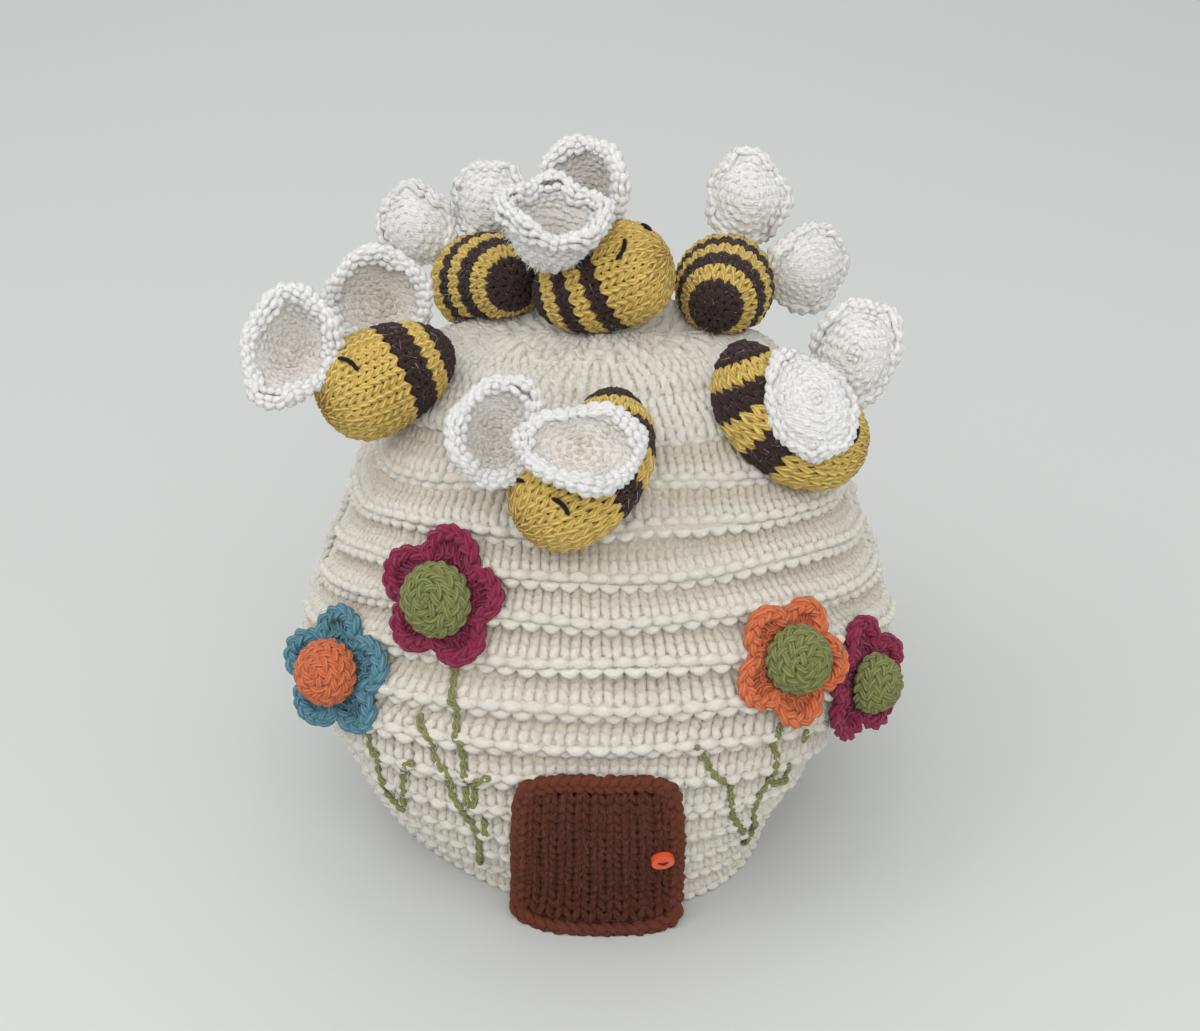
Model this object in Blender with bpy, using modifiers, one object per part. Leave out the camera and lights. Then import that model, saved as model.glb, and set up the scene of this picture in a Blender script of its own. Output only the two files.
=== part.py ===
"""Knitted beehive tea cosy: a ridged hive with a spout slit and a handle slit, and the bees, flowers,
door and button that are sewn on it. Lengths in the tables are millimetres; the objects are in metres.
+Z is up, the door faces -Y, and the hem stands on z = 0."""

import math
from collections import namedtuple

import bmesh
import bpy
from mathutils import Matrix, Vector
from mathutils.bvhtree import BVHTree

MM = 0.001
GAP = 0.3  # left between a sewn-on piece and what carries it

WALL = 3.0  # the knitted fabric between its ridges
RIDGE = 1.9  # how far a purl ridge stands out of the valley below it
CREST = 0.22  # where the crest lies between one valley and the next
FRONT_COLUMNS = 26
BACK_COLUMNS = 26

# The hive from hem to crown, one row for each valley between ridges. Heights differ from the front to
# the sides because the fabric is pulled up over a round belly; a swell fills out a quarter of the round.
Valley = namedtuple("Valley", "front_z left_z right_z front back left right left_swell right_swell")
HIVE = (
    Valley(0.0, 0.0, 0.0, 60.0, 58.0, 62.0, 46.0, -0.080, 0.085),
    Valley(9.5, 8.0, 4.0, 63.0, 62.0, 65.0, 47.0, -0.030, 0.085),
    Valley(20.0, 16.0, 9.0, 67.5, 66.5, 67.0, 48.5, 0.020, 0.090),
    Valley(30.5, 24.0, 15.0, 71.5, 70.5, 68.7, 51.0, 0.060, 0.105),
    Valley(41.0, 31.5, 23.0, 74.5, 74.0, 71.0, 56.0, 0.080, 0.105),
    Valley(52.0, 39.5, 32.5, 76.0, 76.0, 75.0, 63.5, 0.090, 0.090),
    Valley(63.0, 47.5, 42.5, 76.5, 76.5, 80.5, 72.5, 0.080, 0.080),
    Valley(73.5, 56.5, 53.0, 75.5, 76.0, 83.5, 80.0, 0.060, 0.075),
    Valley(84.5, 66.5, 65.0, 73.0, 74.0, 82.5, 81.5, 0.020, 0.055),
    Valley(95.5, 77.5, 78.5, 69.0, 71.0, 78.5, 78.0, 0.010, 0.030),
    Valley(105.5, 88.0, 92.0, 64.5, 67.0, 73.5, 73.0, 0.020, 0.025),
    Valley(115.0, 100.0, 105.0, 58.0, 62.0, 68.0, 68.0, 0.050, 0.035),
    Valley(124.5, 112.5, 116.5, 49.5, 55.0, 63.0, 63.0, 0.070, 0.050),
    Valley(134.0, 127.0, 129.0, 39.0, 47.5, 57.0, 57.0, 0.045, 0.030),
    Valley(142.0, 139.5, 139.5, 27.0, 37.0, 47.5, 47.5, 0.0, 0.0),
    Valley(146.5, 145.5, 145.5, 13.0, 23.0, 30.0, 30.0, 0.0, 0.0),
    Valley(147.5, 147.5, 147.5, -4.5, 4.5, 0.0, 0.0, 0.0, 0.0),
)
TOP = len(HIVE) - 1
RIDGES_FADE = 14.2  # above this valley the ridges die into the crown

# The two slits at the sides: from which valley to which, and how far each edge is from the middle.
Slit = namedtuple("Slit", "side low high front_gap back_gap")
SLITS = (
    Slit(-1, 6.5, 11.5, 15.0, 21.0),
    Slit(1, 7.0, 12.5, 13.0, 23.0),
)

# A bee's spine runs from the middle of its head to the middle of its tail, with its middle moved by bow.
Bee = namedtuple("Bee", "head tail bow")
BEES = {
    "bee_left": Bee((-64.0, -24.0, 142.0), (-46.5, -14.5, 147.5), (0.0, 0.0, 0.0)),
    "bee_behind": Bee((-35.0, 38.0, 146.5), (-26.0, 17.0, 155.5), (0.0, 0.0, 0.5)),
    "bee_top": Bee((8.8, 5.0, 164.4), (-10.5, 8.0, 156.2), (0.0, 0.0, -0.5)),
    "bee_right_back": Bee((35.5, 34.0, 148.5), (32.5, 9.0, 153.5), (0.5, 0.0, 0.5)),
    "bee_right": Bee((57.5, -33.0, 132.5), (38.6, -27.3, 148.0), (-2.5, -1.5, -2.0)),
    "bee_front": Bee((-10.3, -61.0, 129.8), (3.1, -44.6, 143.0), (3.0, -1.0, -0.5)),
}
# Half width of a bee's body along its length, from the crown of its head to its tail tip.
BEE_OUTLINE = ((0.0, 0.0), (1.5, 6.2), (5.0, 10.2), (10.0, 12.6), (16.0, 13.4), (24.0, 13.0),
               (32.0, 11.9), (40.0, 9.6), (45.5, 6.3), (48.0, 3.3), (49.5, 0.0))
HEAD_INSET = 13.0  # from the crown of the head to the spine's first end
TAIL_INSET = 10.0  # from the spine's last end to the tail tip

# Wings: about where the middle is, which way the wing is brought up to its bee from, which way it grows
# from its root, which way its hollow faces, and its length, width and cup depth.
Wing = namedtuple("Wing", "middle away lead face length width cup")
WINGS = {
    "bee_left_wing_a": Wing((-59.5, -8.0, 157.0), (0.0, 1.0, 0.1), (-0.1, 0.3, 0.95), (0.0, -0.95, 0.2),
                            24, 26, 7),
    "bee_left_wing_b": Wing((-83.0, -24.0, 155.7), (-0.9, 0.0, 0.35), (-0.9, 0.1, 0.3), (0.35, -0.85, 0.3),
                            22, 28, 8),
    "bee_behind_wing_a": Wing((-46.5, 38.0, 159.0), (-0.75, 0.6, 0.2), (-0.75, 0.3, 0.6), (-0.3, 0.8, 0.4),
                              22, 20, 6),
    "bee_behind_wing_b": Wing((-31.8, 40.0, 165.5), (0.0, 0.7, 0.7), (0.1, 0.3, 0.95), (0.2, 0.9, 0.0),
                              20, 19, 6),
    "bee_top_wing_a": Wing((-13.5, 0.0, 178.0), (-0.2, -0.2, 1.0), (-0.98, -0.1, 0.1), (0.15, -0.1, 1.0),
                           27, 27, 14),
    "bee_top_wing_b": Wing((-2.4, 20.0, 182.5), (-0.1, 0.8, 0.6), (-0.3, 0.4, 0.85), (-0.4, -0.8, 0.4),
                           24, 22, 7),
    "bee_right_back_wing_a": Wing((41.4, 38.0, 168.8), (0.1, 0.3, 1.0), (0.1, 0.35, 0.93), (0.0, 0.9, -0.3),
                                  23, 20, 6),
    "bee_right_back_wing_b": Wing((60.5, 36.0, 151.5), (1.0, 0.1, 0.2), (0.9, 0.3, 0.1), (0.2, 0.9, 0.0),
                                  22, 22, 6),
    "bee_right_wing_a": Wing((54.0, -42.0, 147.5), (0.3, -0.75, 0.6), (-0.8, -0.4, -0.3), (-0.2, 0.7, -0.7),
                             19, 27, 5),
    "bee_right_wing_b": Wing((71.0, -18.0, 160.0), (0.4, 0.3, 0.85), (0.3, 0.3, 0.9), (0.2, 0.9, -0.2),
                             27, 19, 6),
    "bee_front_wing_a": Wing((-4.9, -66.0, 145.7), (0.0, -0.7, 0.7), (0.98, 0.1, -0.1), (0.0, -0.6, 0.8),
                             29, 21, 3.5),
    "bee_front_wing_b": Wing((-27.2, -56.0, 146.0), (-0.8, -0.1, 0.5), (-0.85, 0.0, 0.35), (0.1, -0.75, 0.6),
                             22, 25, 7),
}
WING_THICKNESS = 2.6

# Flowers: the valley and the turn from the front at which the middle sits, how far out the petals
# reach, how the petals are turned, how far the flower looks up at its viewer, and its domed centre.
Flower = namedtuple("Flower", "valley turn reach spin look width height petals centre")
FLOWERS = {
    "flower_blue": Flower(7.3, -51.0, 18.2, 26.0, 0.55, 17.0, 8.0, (0.10, 0.33, 0.45), (0.80, 0.17, 0.05)),
    "flower_magenta": Flower(9.5, -30.5, 19.0, 18.0, 0.1, 19.0, 6.5, (0.30, 0.02, 0.09), (0.23, 0.29, 0.06)),
    "flower_purple": Flower(7.3, 52.0, 17.5, 8.0, 0.2, 15.5, 7.5, (0.30, 0.02, 0.09), (0.23, 0.29, 0.06)),
    "flower_orange": Flower(8.1, 34.5, 17.4, 54.0, 0.2, 17.5, 8.0, (0.82, 0.20, 0.06), (0.23, 0.29, 0.06)),
}
LOOK = Vector((0.0, -0.875, 0.485))
PETALS = 5
PETAL_THICKNESS = 3.6
PETAL_NOTCH = 0.30  # how far in the outline goes between two petals

DOOR_WIDTH = 42.5
DOOR_MIDDLE = -0.6
DOOR_TOP = 5.5  # valley at which the door's upper edge lies
DOOR_THICKNESS = 3.2
DOOR_ROUNDING = 0.42
DOOR_FLARE = 9.5  # how far its lower edge stands out in front of the hem
DOOR_FLOOR = 0.8  # height of its lower edge
BUTTON_WIDTH = 6.2
BUTTON_THICKNESS = 1.8
BUTTON_HOLE = 1.0
BUTTON_PITCH = 2.2
BUTTON_PLACE = (16.3, 0.515)  # across the door, and up it as a share of its height

CREAM = (0.80, 0.76, 0.68)
BEE_YELLOW = (0.62, 0.38, 0.08)
WING_WHITE = (0.86, 0.86, 0.88)
DOOR_BROWN = (0.10, 0.025, 0.016)
BUTTON_RED = (0.72, 0.09, 0.03)


def hive_value(column, valley):
    """One column of the hive's table, read between valleys."""
    low = min(int(valley), TOP - 1)
    share = valley - low
    return getattr(HIVE[low], column) * (1 - share) + getattr(HIVE[low + 1], column) * share


def hive_base(valley, turn):
    """The hive's smooth skin, in mm. turn is in radians, 0 at the front and positive to the right."""
    across = math.sin(turn)
    along = math.cos(turn)
    sided = "right" if across > 0 else "left"
    front = hive_value("front", valley)
    back = hive_value("back", valley)
    swell = 1 + hive_value(sided + "_swell", valley) * math.sin(2 * turn) ** 2
    side = across ** 4
    x = hive_value(sided, valley) * across * swell
    y = (back - front) / 2 - (front + back) / 2 * along * swell
    z = hive_value("front_z", valley) * (1 - side) + hive_value(sided + "_z", valley) * side
    return Vector((x, y, z))


def hive_out(valley, turn):
    """The way out of the fabric. It is level at the hem, where the cover stands."""
    step = 0.02
    valley = min(max(valley, step), TOP - 0.4)
    up = hive_base(valley + step, turn) - hive_base(valley - step, turn)
    round_ = hive_base(valley, turn + step) - hive_base(valley, turn - step)
    out = round_.cross(up)
    out.z *= min(1.0, valley)
    return out.normalized()


def hive_point(valley, turn, lift):
    return hive_base(valley, turn) + hive_out(valley, turn) * lift


def ridge_height(valley):
    fade = (TOP - 0.4 - valley) / (TOP - 0.4 - RIDGES_FADE)
    return RIDGE * min(1.0, max(0.0, fade))


def ridge_lift(valley):
    """A saw tooth: each ridge hangs over the valley under it and slopes back to the next."""
    share = valley - math.floor(valley)
    height = share / CREST if share < CREST else (1 - share) / (1 - CREST)
    return ridge_height(valley) * height


def slit_turn(side, end, valley):
    """How far the edge of the front (end -1) or back (end 1) panel is drawn away from the side."""
    for slit in SLITS:
        if slit.side == side and slit.low < valley < slit.high:
            gap = slit.front_gap if end < 0 else slit.back_gap
            share = (valley - slit.low) / (slit.high - slit.low)
            depth = (hive_value("front", valley) + hive_value("back", valley)) / 2
            return math.asin(gap * math.sin(math.pi * share) ** 0.7 / depth)
    return 0.0


def panel_turns(valley, end, columns):
    """The turns of one panel's columns at a height, from its left edge round to its right edge."""
    left, right = slit_turn(-1, end, valley), slit_turn(1, end, valley)
    quarter = math.pi / 2
    if end < 0:
        start, stop = -quarter + left, quarter - right
    else:
        start, stop = quarter + right, 3 * quarter - left
    return [start + (stop - start) * i / columns for i in range(columns + 1)]


def cover_heights():
    heights = []
    for valley in range(TOP):
        heights += [float(valley), valley + CREST]
    return heights + [TOP - 0.35]


def is_open(side, low, high):
    return any(s.side == side and s.low < high and s.high > low for s in SLITS)


def finish_mesh(name, shape, colour, roughness=0.9, flat=False):
    """Makes an object of a bmesh that is in mm, with its origin in its middle."""
    bmesh.ops.remove_doubles(shape, verts=shape.verts, dist=0.01)
    bmesh.ops.recalc_face_normals(shape, faces=shape.faces)
    middle = sum((v.co for v in shape.verts), Vector()) / len(shape.verts)
    bmesh.ops.translate(shape, verts=shape.verts, vec=-middle)
    bmesh.ops.scale(shape, verts=shape.verts, vec=(MM, MM, MM))
    mesh = bpy.data.meshes.new(name)
    shape.to_mesh(mesh)
    shape.free()
    if not flat:
        mesh.shade_smooth()
    obj = bpy.data.objects.new(name, mesh)
    obj.location = middle * MM
    material = bpy.data.materials.new(name)
    material.use_nodes = True
    shader = material.node_tree.nodes["Principled BSDF"]
    shader.inputs["Base Color"].default_value = (*colour, 1.0)
    shader.inputs["Roughness"].default_value = roughness
    mesh.materials.append(material)
    return obj


def make_cover():
    """The ridged hive: an outer and an inner skin, joined at the hem and along both slits."""
    shape = bmesh.new()
    heights = cover_heights()
    panels = ((-1, FRONT_COLUMNS), (1, BACK_COLUMNS))
    skins = {}
    for end, columns in panels:
        for inner in (False, True):
            rows = []
            for valley in heights:
                lift = -WALL if inner else ridge_lift(valley)
                turns = panel_turns(valley, end, columns)
                rows.append([shape.verts.new(hive_point(valley, turn, lift)) for turn in turns])
            skins[end, inner] = rows
            for low, high in zip(rows, rows[1:]):
                for i in range(columns):
                    shape.faces.new((low[i], low[i + 1], high[i + 1], high[i]))
            pole = shape.verts.new(Vector((0, 4.5, HIVE[TOP].front_z - (WALL if inner else 0))))
            for i in range(columns):
                shape.faces.new((rows[-1][i], rows[-1][i + 1], pole))
        outer, inside = skins[end, False], skins[end, True]
        for i in range(columns):
            shape.faces.new((outer[0][i], inside[0][i], inside[0][i + 1], outer[0][i + 1]))
        for side, column in ((-1, 0 if end < 0 else columns), (1, columns if end < 0 else 0)):
            for row in range(len(heights) - 1):
                if is_open(side, heights[row], heights[row + 1]):
                    shape.faces.new((outer[row][column], outer[row + 1][column],
                                     inside[row + 1][column], inside[row][column]))
    return finish_mesh("cosy_cover", shape, CREAM)


def seat_tree(lift):
    """A smooth surface that lies this far outside the hive's crests, to set sewn-on pieces against."""
    around = 96
    heights = [i * 0.25 for i in range(int((TOP - 0.4) * 4) + 1)] + [TOP - 0.35]
    turns = [2 * math.pi * i / around for i in range(around)]
    points = [hive_point(h, turn, ridge_height(h) + lift) for h in heights for turn in turns]
    faces = []
    for row in range(len(heights) - 1):
        for i in range(around):
            a, b = row * around + i, row * around + (i + 1) % around
            faces.append((a, b, b + around, a + around))
    points.append(Vector((0, 4.5, HIVE[TOP].front_z + lift)))
    last = (len(heights) - 1) * around
    faces += [(last + i, last + (i + 1) % around, len(points) - 1) for i in range(around)]
    return BVHTree.FromPolygons(points, faces)


def press_on(shape, seat):
    """Flattens the underside of a soft piece where it would sink into its seat."""
    for vert in shape.verts:
        near, out, _, _ = seat.find_nearest(vert.co)
        if (vert.co - near).dot(out) < 0:
            vert.co = near


def outline_at(outline, distance):
    for (near, a), (far, b) in zip(outline, outline[1:]):
        if distance <= far:
            return a + (b - a) * (distance - near) / (far - near)
    return outline[-1][1]


def spine_point(bee, share):
    """A point on the bee's spine, in mm: share 0 is the middle of its head and 1 that of its tail."""
    head, tail = Vector(bee.head), Vector(bee.tail)
    bow = Vector(bee.bow) * 4 * share * (1 - share)
    return head.lerp(tail, share) + bow


def spine_frame(bee, share):
    along = (spine_point(bee, share + 0.02) - spine_point(bee, share - 0.02)).normalized()
    side = along.cross(Vector((0, 0, 1))).normalized()
    return along, side, side.cross(along)


def make_bee(name, seat):
    """A stuffed body: a sphere drawn out along the spine to the body's outline."""
    bee = BEES[name]
    shape = bmesh.new()
    bmesh.ops.create_uvsphere(shape, u_segments=14, v_segments=12, radius=1.0)
    length = BEE_OUTLINE[-1][0]
    spine = (Vector(bee.tail) - Vector(bee.head)).length
    for vert in shape.verts:
        distance = length * math.acos(max(-1.0, min(1.0, vert.co.z))) / math.pi
        ring = Vector((vert.co.x, vert.co.y))
        radius = outline_at(BEE_OUTLINE, distance)
        share = (distance - HEAD_INSET) / (length - HEAD_INSET - TAIL_INSET)
        along, side, over = spine_frame(bee, min(max(share, 0.0), 1.0))
        beyond = (share - min(max(share, 0.0), 1.0)) * spine
        direction = side * ring.x + over * ring.y
        if direction.length > 1e-6:
            direction.normalize()
        centre = spine_point(bee, min(max(share, 0.0), 1.0)) + along * beyond
        vert.co = centre + direction * radius
    press_on(shape, seat)
    return shape


def wing_shape(wing, middle):
    """A cupped oval, rounded at its rim and narrower at its root."""
    lead = Vector(wing.lead).normalized()
    face = Vector(wing.face)
    face = (face - lead * face.dot(lead)).normalized()
    side = face.cross(lead)
    shape = bmesh.new()
    bmesh.ops.create_uvsphere(shape, u_segments=14, v_segments=8, radius=1.0)
    for vert in shape.verts:
        x, y, z = vert.co
        spread = x * x + y * y
        narrow = 1.0 - 0.22 * max(0.0, -x) ** 2
        height = -wing.cup * (1 - spread) + math.copysign(math.sqrt(abs(z)), z) * WING_THICKNESS / 2
        vert.co = (middle + lead * wing.length / 2 * x + side * wing.width / 2 * y * narrow
                   + face * (height + wing.cup * 0.5))
    return shape


def swelled_tree(shape, offset, swell):
    shape.verts.index_update()
    shape.normal_update()
    points = [v.co + v.normal * swell + offset for v in shape.verts]
    return BVHTree.FromPolygons(points, [[v.index for v in f.verts] for f in shape.faces])


def bring_up(shape, away, start, stop, neighbours):
    """Moves a piece in along a line until it lies one gap from the first thing it meets."""
    reach = start
    while reach > stop:
        moved = swelled_tree(shape, away * (reach - 0.1), GAP)
        if any(moved.overlap(other) for other in neighbours):
            break
        reach -= 0.1
    bmesh.ops.translate(shape, verts=shape.verts, vec=away * reach)


def make_wing(name, neighbours):
    wing = WINGS[name]
    shape = wing_shape(wing, Vector(wing.middle))
    bring_up(shape, Vector(wing.away).normalized(), 12.0, -12.0, neighbours)
    return shape


def tree_of(shape):
    shape.verts.index_update()
    faces = [[v.index for v in f.verts] for f in shape.faces]
    return BVHTree.FromPolygons([v.co for v in shape.verts], faces)


def flower_frame(flower):
    turn = math.radians(flower.turn)
    middle = hive_point(flower.valley, turn, RIDGE + GAP)
    out = hive_out(flower.valley, turn).lerp(LOOK, flower.look).normalized()
    up = (Vector((0, 0, 1)) - out * out.z).normalized()
    return middle, out, up.cross(out), up


def petal_reach(angle, spin):
    lobe = abs(math.cos(PETALS / 2 * (angle - math.radians(spin))))
    return 1 - PETAL_NOTCH * (1 - lobe ** 0.6)


def make_petals(flower, seats):
    """Five puffed petals in one piece, lying on what carries them or standing out from it."""
    middle, out, right, up = flower_frame(flower)
    shape = bmesh.new()
    bmesh.ops.create_uvsphere(shape, u_segments=40, v_segments=8, radius=1.0)
    for vert in shape.verts:
        x, y, z = vert.co
        reach = flower.reach * petal_reach(math.atan2(y, x), flower.spin)
        foot = middle + right * x * reach + up * y * reach
        height = -(x * x + y * y) * reach ** 2 / 190.0
        for seat in seats:
            hit = seat.ray_cast(foot + out * 40, -out)[0]
            if hit:
                height = max(height, (hit - foot).dot(out))
        vert.co = foot + out * (height + PETAL_THICKNESS / 2 * (1 + z))
    return shape


def make_centre(flower, petals):
    """The domed centre, flat where it lies on the petals."""
    middle, out, right, up = flower_frame(flower)
    shape = bmesh.new()
    bmesh.ops.create_uvsphere(shape, u_segments=14, v_segments=8, radius=1.0)
    radius = flower.width / 2
    for vert in shape.verts:
        x, y, z = vert.co
        height = flower.height * z if z > 0 else 0.6 * z
        vert.co = middle + (right * x + up * y) * radius + out * height
    bring_up(shape, out, PETAL_THICKNESS + 8, 0.0, [petals])
    return shape


def door_point(across, rise, lift):
    """A point on the door, in mm from its middle line and as a share of its height."""
    across += DOOR_MIDDLE
    valley = DOOR_TOP * rise
    reach = hive_value("right" if across > 0 else "left", valley)
    turn = math.asin(across / reach)
    for _ in range(4):
        turn += (across - hive_base(valley, turn).x) / reach
    out = hive_out(valley, turn)
    out.z = 0
    flare = DOOR_FLARE * max(0.0, 1 - rise / 0.3) ** 2
    point = hive_base(valley, turn) + out.normalized() * (RIDGE + GAP + flare + lift)
    point.z = max(point.z, DOOR_FLOOR)
    return point


def make_door():
    shape = bmesh.new()
    bmesh.ops.create_grid(shape, x_segments=10, y_segments=12, size=1.0)
    for vert in shape.verts:
        x, y = vert.co.x, vert.co.y
        across = x * math.sqrt(1 - DOOR_ROUNDING * y ** 4 / 2) * DOOR_WIDTH / 2
        rise = (1 + y * math.sqrt(1 - DOOR_ROUNDING * x ** 4 / 2)) / 2
        vert.co = door_point(across, rise, 0.0)
    door = finish_mesh("door", shape, DOOR_BROWN)
    solid = door.modifiers.new("thickness", "SOLIDIFY")
    solid.thickness = DOOR_THICKNESS * MM
    solid.offset = 1.0
    solid.use_even_offset = True
    return door


def round_bar(radius, length, segments):
    shape = bmesh.new()
    bmesh.ops.create_cone(shape, cap_ends=True, segments=segments,
                          radius1=radius, radius2=radius, depth=length)
    return shape


def make_button(cutters):
    """A small flat button with two holes, lying on the door."""
    across, rise = BUTTON_PLACE
    middle = door_point(across, rise, DOOR_THICKNESS)
    up = door_point(across, rise + 0.03, DOOR_THICKNESS) - middle
    out = (door_point(across + 2, rise, DOOR_THICKNESS) - middle).cross(up).normalized()
    place = middle + out * (GAP * 1.6 + BUTTON_THICKNESS / 2)
    turned = out.to_track_quat("Z", "Y").to_matrix().to_4x4()
    disc = round_bar(BUTTON_WIDTH / 2, BUTTON_THICKNESS, 28)
    button = finish_mesh("button", disc, BUTTON_RED, 0.35, flat=True)
    button.matrix_world = Matrix.Translation(place * MM) @ turned
    for side in (-1, 1):
        drill = round_bar(BUTTON_HOLE / 2, BUTTON_THICKNESS * 2, 12)
        hole = finish_mesh("button_hole", drill, BUTTON_RED, flat=True)
        offset = Vector((side * BUTTON_PITCH / 2 * MM, 0, 0))
        hole.matrix_world = button.matrix_world @ Matrix.Translation(offset)
        hole.hide_render = True
        hole.display_type = "WIRE"
        cutters.objects.link(hole)
        cut = button.modifiers.new("hole", "BOOLEAN")
        cut.operation = "DIFFERENCE"
        cut.object = hole
    return button


def make_all():
    for obj in list(bpy.data.objects):
        bpy.data.objects.remove(obj, do_unlink=True)
    cosy = bpy.data.collections.new("tea_cosy")
    cutters = bpy.data.collections.new("cutters")
    bpy.context.scene.collection.children.link(cosy)
    bpy.context.scene.collection.children.link(cutters)
    stand = bpy.data.objects.new("stand", None)
    cosy.objects.link(stand)

    seat = seat_tree(GAP)
    soft = {name: make_bee(name, seat) for name in BEES}
    carriers = {name: tree_of(shape) for name, shape in soft.items()}
    hive = seat_tree(0.0)
    wings = {}
    for name, wing in WINGS.items():
        shape = make_wing(name, [hive, *carriers.values(), *wings.values()])
        wings[name] = tree_of(shape)
        soft[name] = shape
    made = [make_cover(), make_door()]
    for name, shape in soft.items():
        made.append(finish_mesh(name, shape, WING_WHITE if name in WINGS else BEE_YELLOW))
    seats = [seat]
    for name, flower in FLOWERS.items():
        petals = make_petals(flower, seats)
        seats.append(swelled_tree(petals, Vector(), GAP + 0.1))
        centre = make_centre(flower, tree_of(petals))
        made.append(finish_mesh(name + "_petals", petals, flower.petals))
        made.append(finish_mesh(name + "_centre", centre, flower.centre))
    made.append(make_button(cutters))
    for obj in made:
        cosy.objects.link(obj)
    bpy.context.view_layer.update()
    depsgraph = bpy.context.evaluated_depsgraph_get()
    corners = []
    for obj in made:
        finished = obj.evaluated_get(depsgraph)
        corners += [finished.matrix_world @ v.co for v in finished.data.vertices]
    for axis in (0, 1):
        reach = [corner[axis] for corner in corners]
        stand.location[axis] = -(min(reach) + max(reach)) / 2
    for obj in made + list(cutters.objects):
        obj.parent = stand
    bpy.context.view_layer.update()


make_all()
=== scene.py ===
import math

import bmesh
import bpy
import numpy as np
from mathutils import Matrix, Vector
from mathutils.bvhtree import BVHTree


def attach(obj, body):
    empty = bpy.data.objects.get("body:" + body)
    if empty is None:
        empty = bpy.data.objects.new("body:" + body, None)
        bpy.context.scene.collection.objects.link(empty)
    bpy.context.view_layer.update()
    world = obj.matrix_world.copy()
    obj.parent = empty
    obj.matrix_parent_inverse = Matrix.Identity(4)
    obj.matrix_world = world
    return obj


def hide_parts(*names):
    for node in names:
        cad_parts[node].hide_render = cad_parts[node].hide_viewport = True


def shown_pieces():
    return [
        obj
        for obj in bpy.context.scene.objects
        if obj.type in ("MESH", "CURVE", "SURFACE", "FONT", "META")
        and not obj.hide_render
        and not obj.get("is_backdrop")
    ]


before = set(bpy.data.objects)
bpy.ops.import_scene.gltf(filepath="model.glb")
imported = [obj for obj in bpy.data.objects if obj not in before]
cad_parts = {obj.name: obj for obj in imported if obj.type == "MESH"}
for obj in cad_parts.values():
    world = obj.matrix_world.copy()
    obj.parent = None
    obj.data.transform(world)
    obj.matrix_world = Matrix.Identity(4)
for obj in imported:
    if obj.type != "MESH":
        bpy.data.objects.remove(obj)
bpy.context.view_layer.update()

# A knitted beehive tea cosy with its bees, flowers, door and button. Lengths are in mm in the hive's
# own frame, where the crown is over (0, crownPlace), until a mesh is made; the meshes are in metres.
crownPlace = 4.5
crown = max((v.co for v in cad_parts["cosy_cover"].data.vertices), key=lambda p: p.z)
shift = np.array((crown.x * 1000, crown.y * 1000 - crownPlace, 0.0))  # from the hive's frame to the row's

studio = {
    "lens": 66.0, "sensor": 36.0, "picture": (1200, 1031),
    "camera": (0.0, -546.6, 394.3), "tilt": 61.0,  # mm, and degrees from straight down
    "room": ((0.95, 0.965, 0.97, 1), 0.68),  # colour, strength
    "floor": (0.565, 0.58, 0.57, 1),
    "aim": 0.08,  # the height in m that the lamps face
    "lamps": {  # place in m, size, power, colour
        "window": ((-0.80, -0.45, 1.05), 1.2, 5.6, (1.0, 0.99, 0.965)),
        "ceiling": ((0.20, 0.10, 1.35), 1.8, 3.0, (1.0, 1.0, 0.99)),
        "front": ((0.05, -1.05, 0.95), 1.0, 6.5, (1.0, 0.985, 0.96)),
        "fill": ((0.95, -0.75, 0.55), 1.1, 2.2, (1.0, 0.97, 0.94)),
        "behind": ((-0.10, 1.25, 0.75), 1.2, 1.5, (1.0, 0.99, 0.98)),
    },
}


def makeStudio():
    scene = bpy.context.scene
    camera = bpy.data.objects.new("camera", bpy.data.cameras.new("camera"))
    scene.collection.objects.link(camera)
    camera.data.lens = studio["lens"]
    camera.data.sensor_width = studio["sensor"]
    camera.data.sensor_fit = "HORIZONTAL"
    camera.data.clip_start = 0.01
    camera.location = Vector((np.array(studio["camera"]) + shift) / 1000)
    camera.rotation_euler = (math.radians(studio["tilt"]), 0, 0)
    scene.camera = camera
    scene.view_settings.view_transform = "Standard"
    scene.view_settings.look = "None"

    world = bpy.data.worlds.new("soft room")
    world.use_nodes = True
    background = world.node_tree.nodes["Background"]
    background.inputs["Color"].default_value, background.inputs["Strength"].default_value = studio["room"]
    scene.world = world

    for name, (place, size, power, colour) in studio["lamps"].items():
        lamp = bpy.data.objects.new(name, bpy.data.lights.new(name, "AREA"))
        scene.collection.objects.link(lamp)
        lamp.data.shape = "DISK"
        lamp.data.size = size
        lamp.data.energy = power
        lamp.data.color = colour
        lamp.location = place
        aim = Vector((0, 0, studio["aim"])) - Vector(place)
        lamp.rotation_euler = aim.to_track_quat("-Z", "Y").to_euler()

    mesh = bpy.data.meshes.new("floor")
    mesh.from_pydata([(-4, -4, 0), (4, -4, 0), (4, 4, 0), (-4, 4, 0)], [], [(0, 1, 2, 3)])
    floor = bpy.data.objects.new("floor", mesh)
    scene.collection.objects.link(floor)
    material = bpy.data.materials.new("pale floor")
    material.use_nodes = True
    shader = material.node_tree.nodes["Principled BSDF"]
    shader.inputs["Base Color"].default_value = studio["floor"]
    shader.inputs["Roughness"].default_value = 0.75
    mesh.materials.append(material)
    floor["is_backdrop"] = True


makeStudio()
print("studio made")


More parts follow.
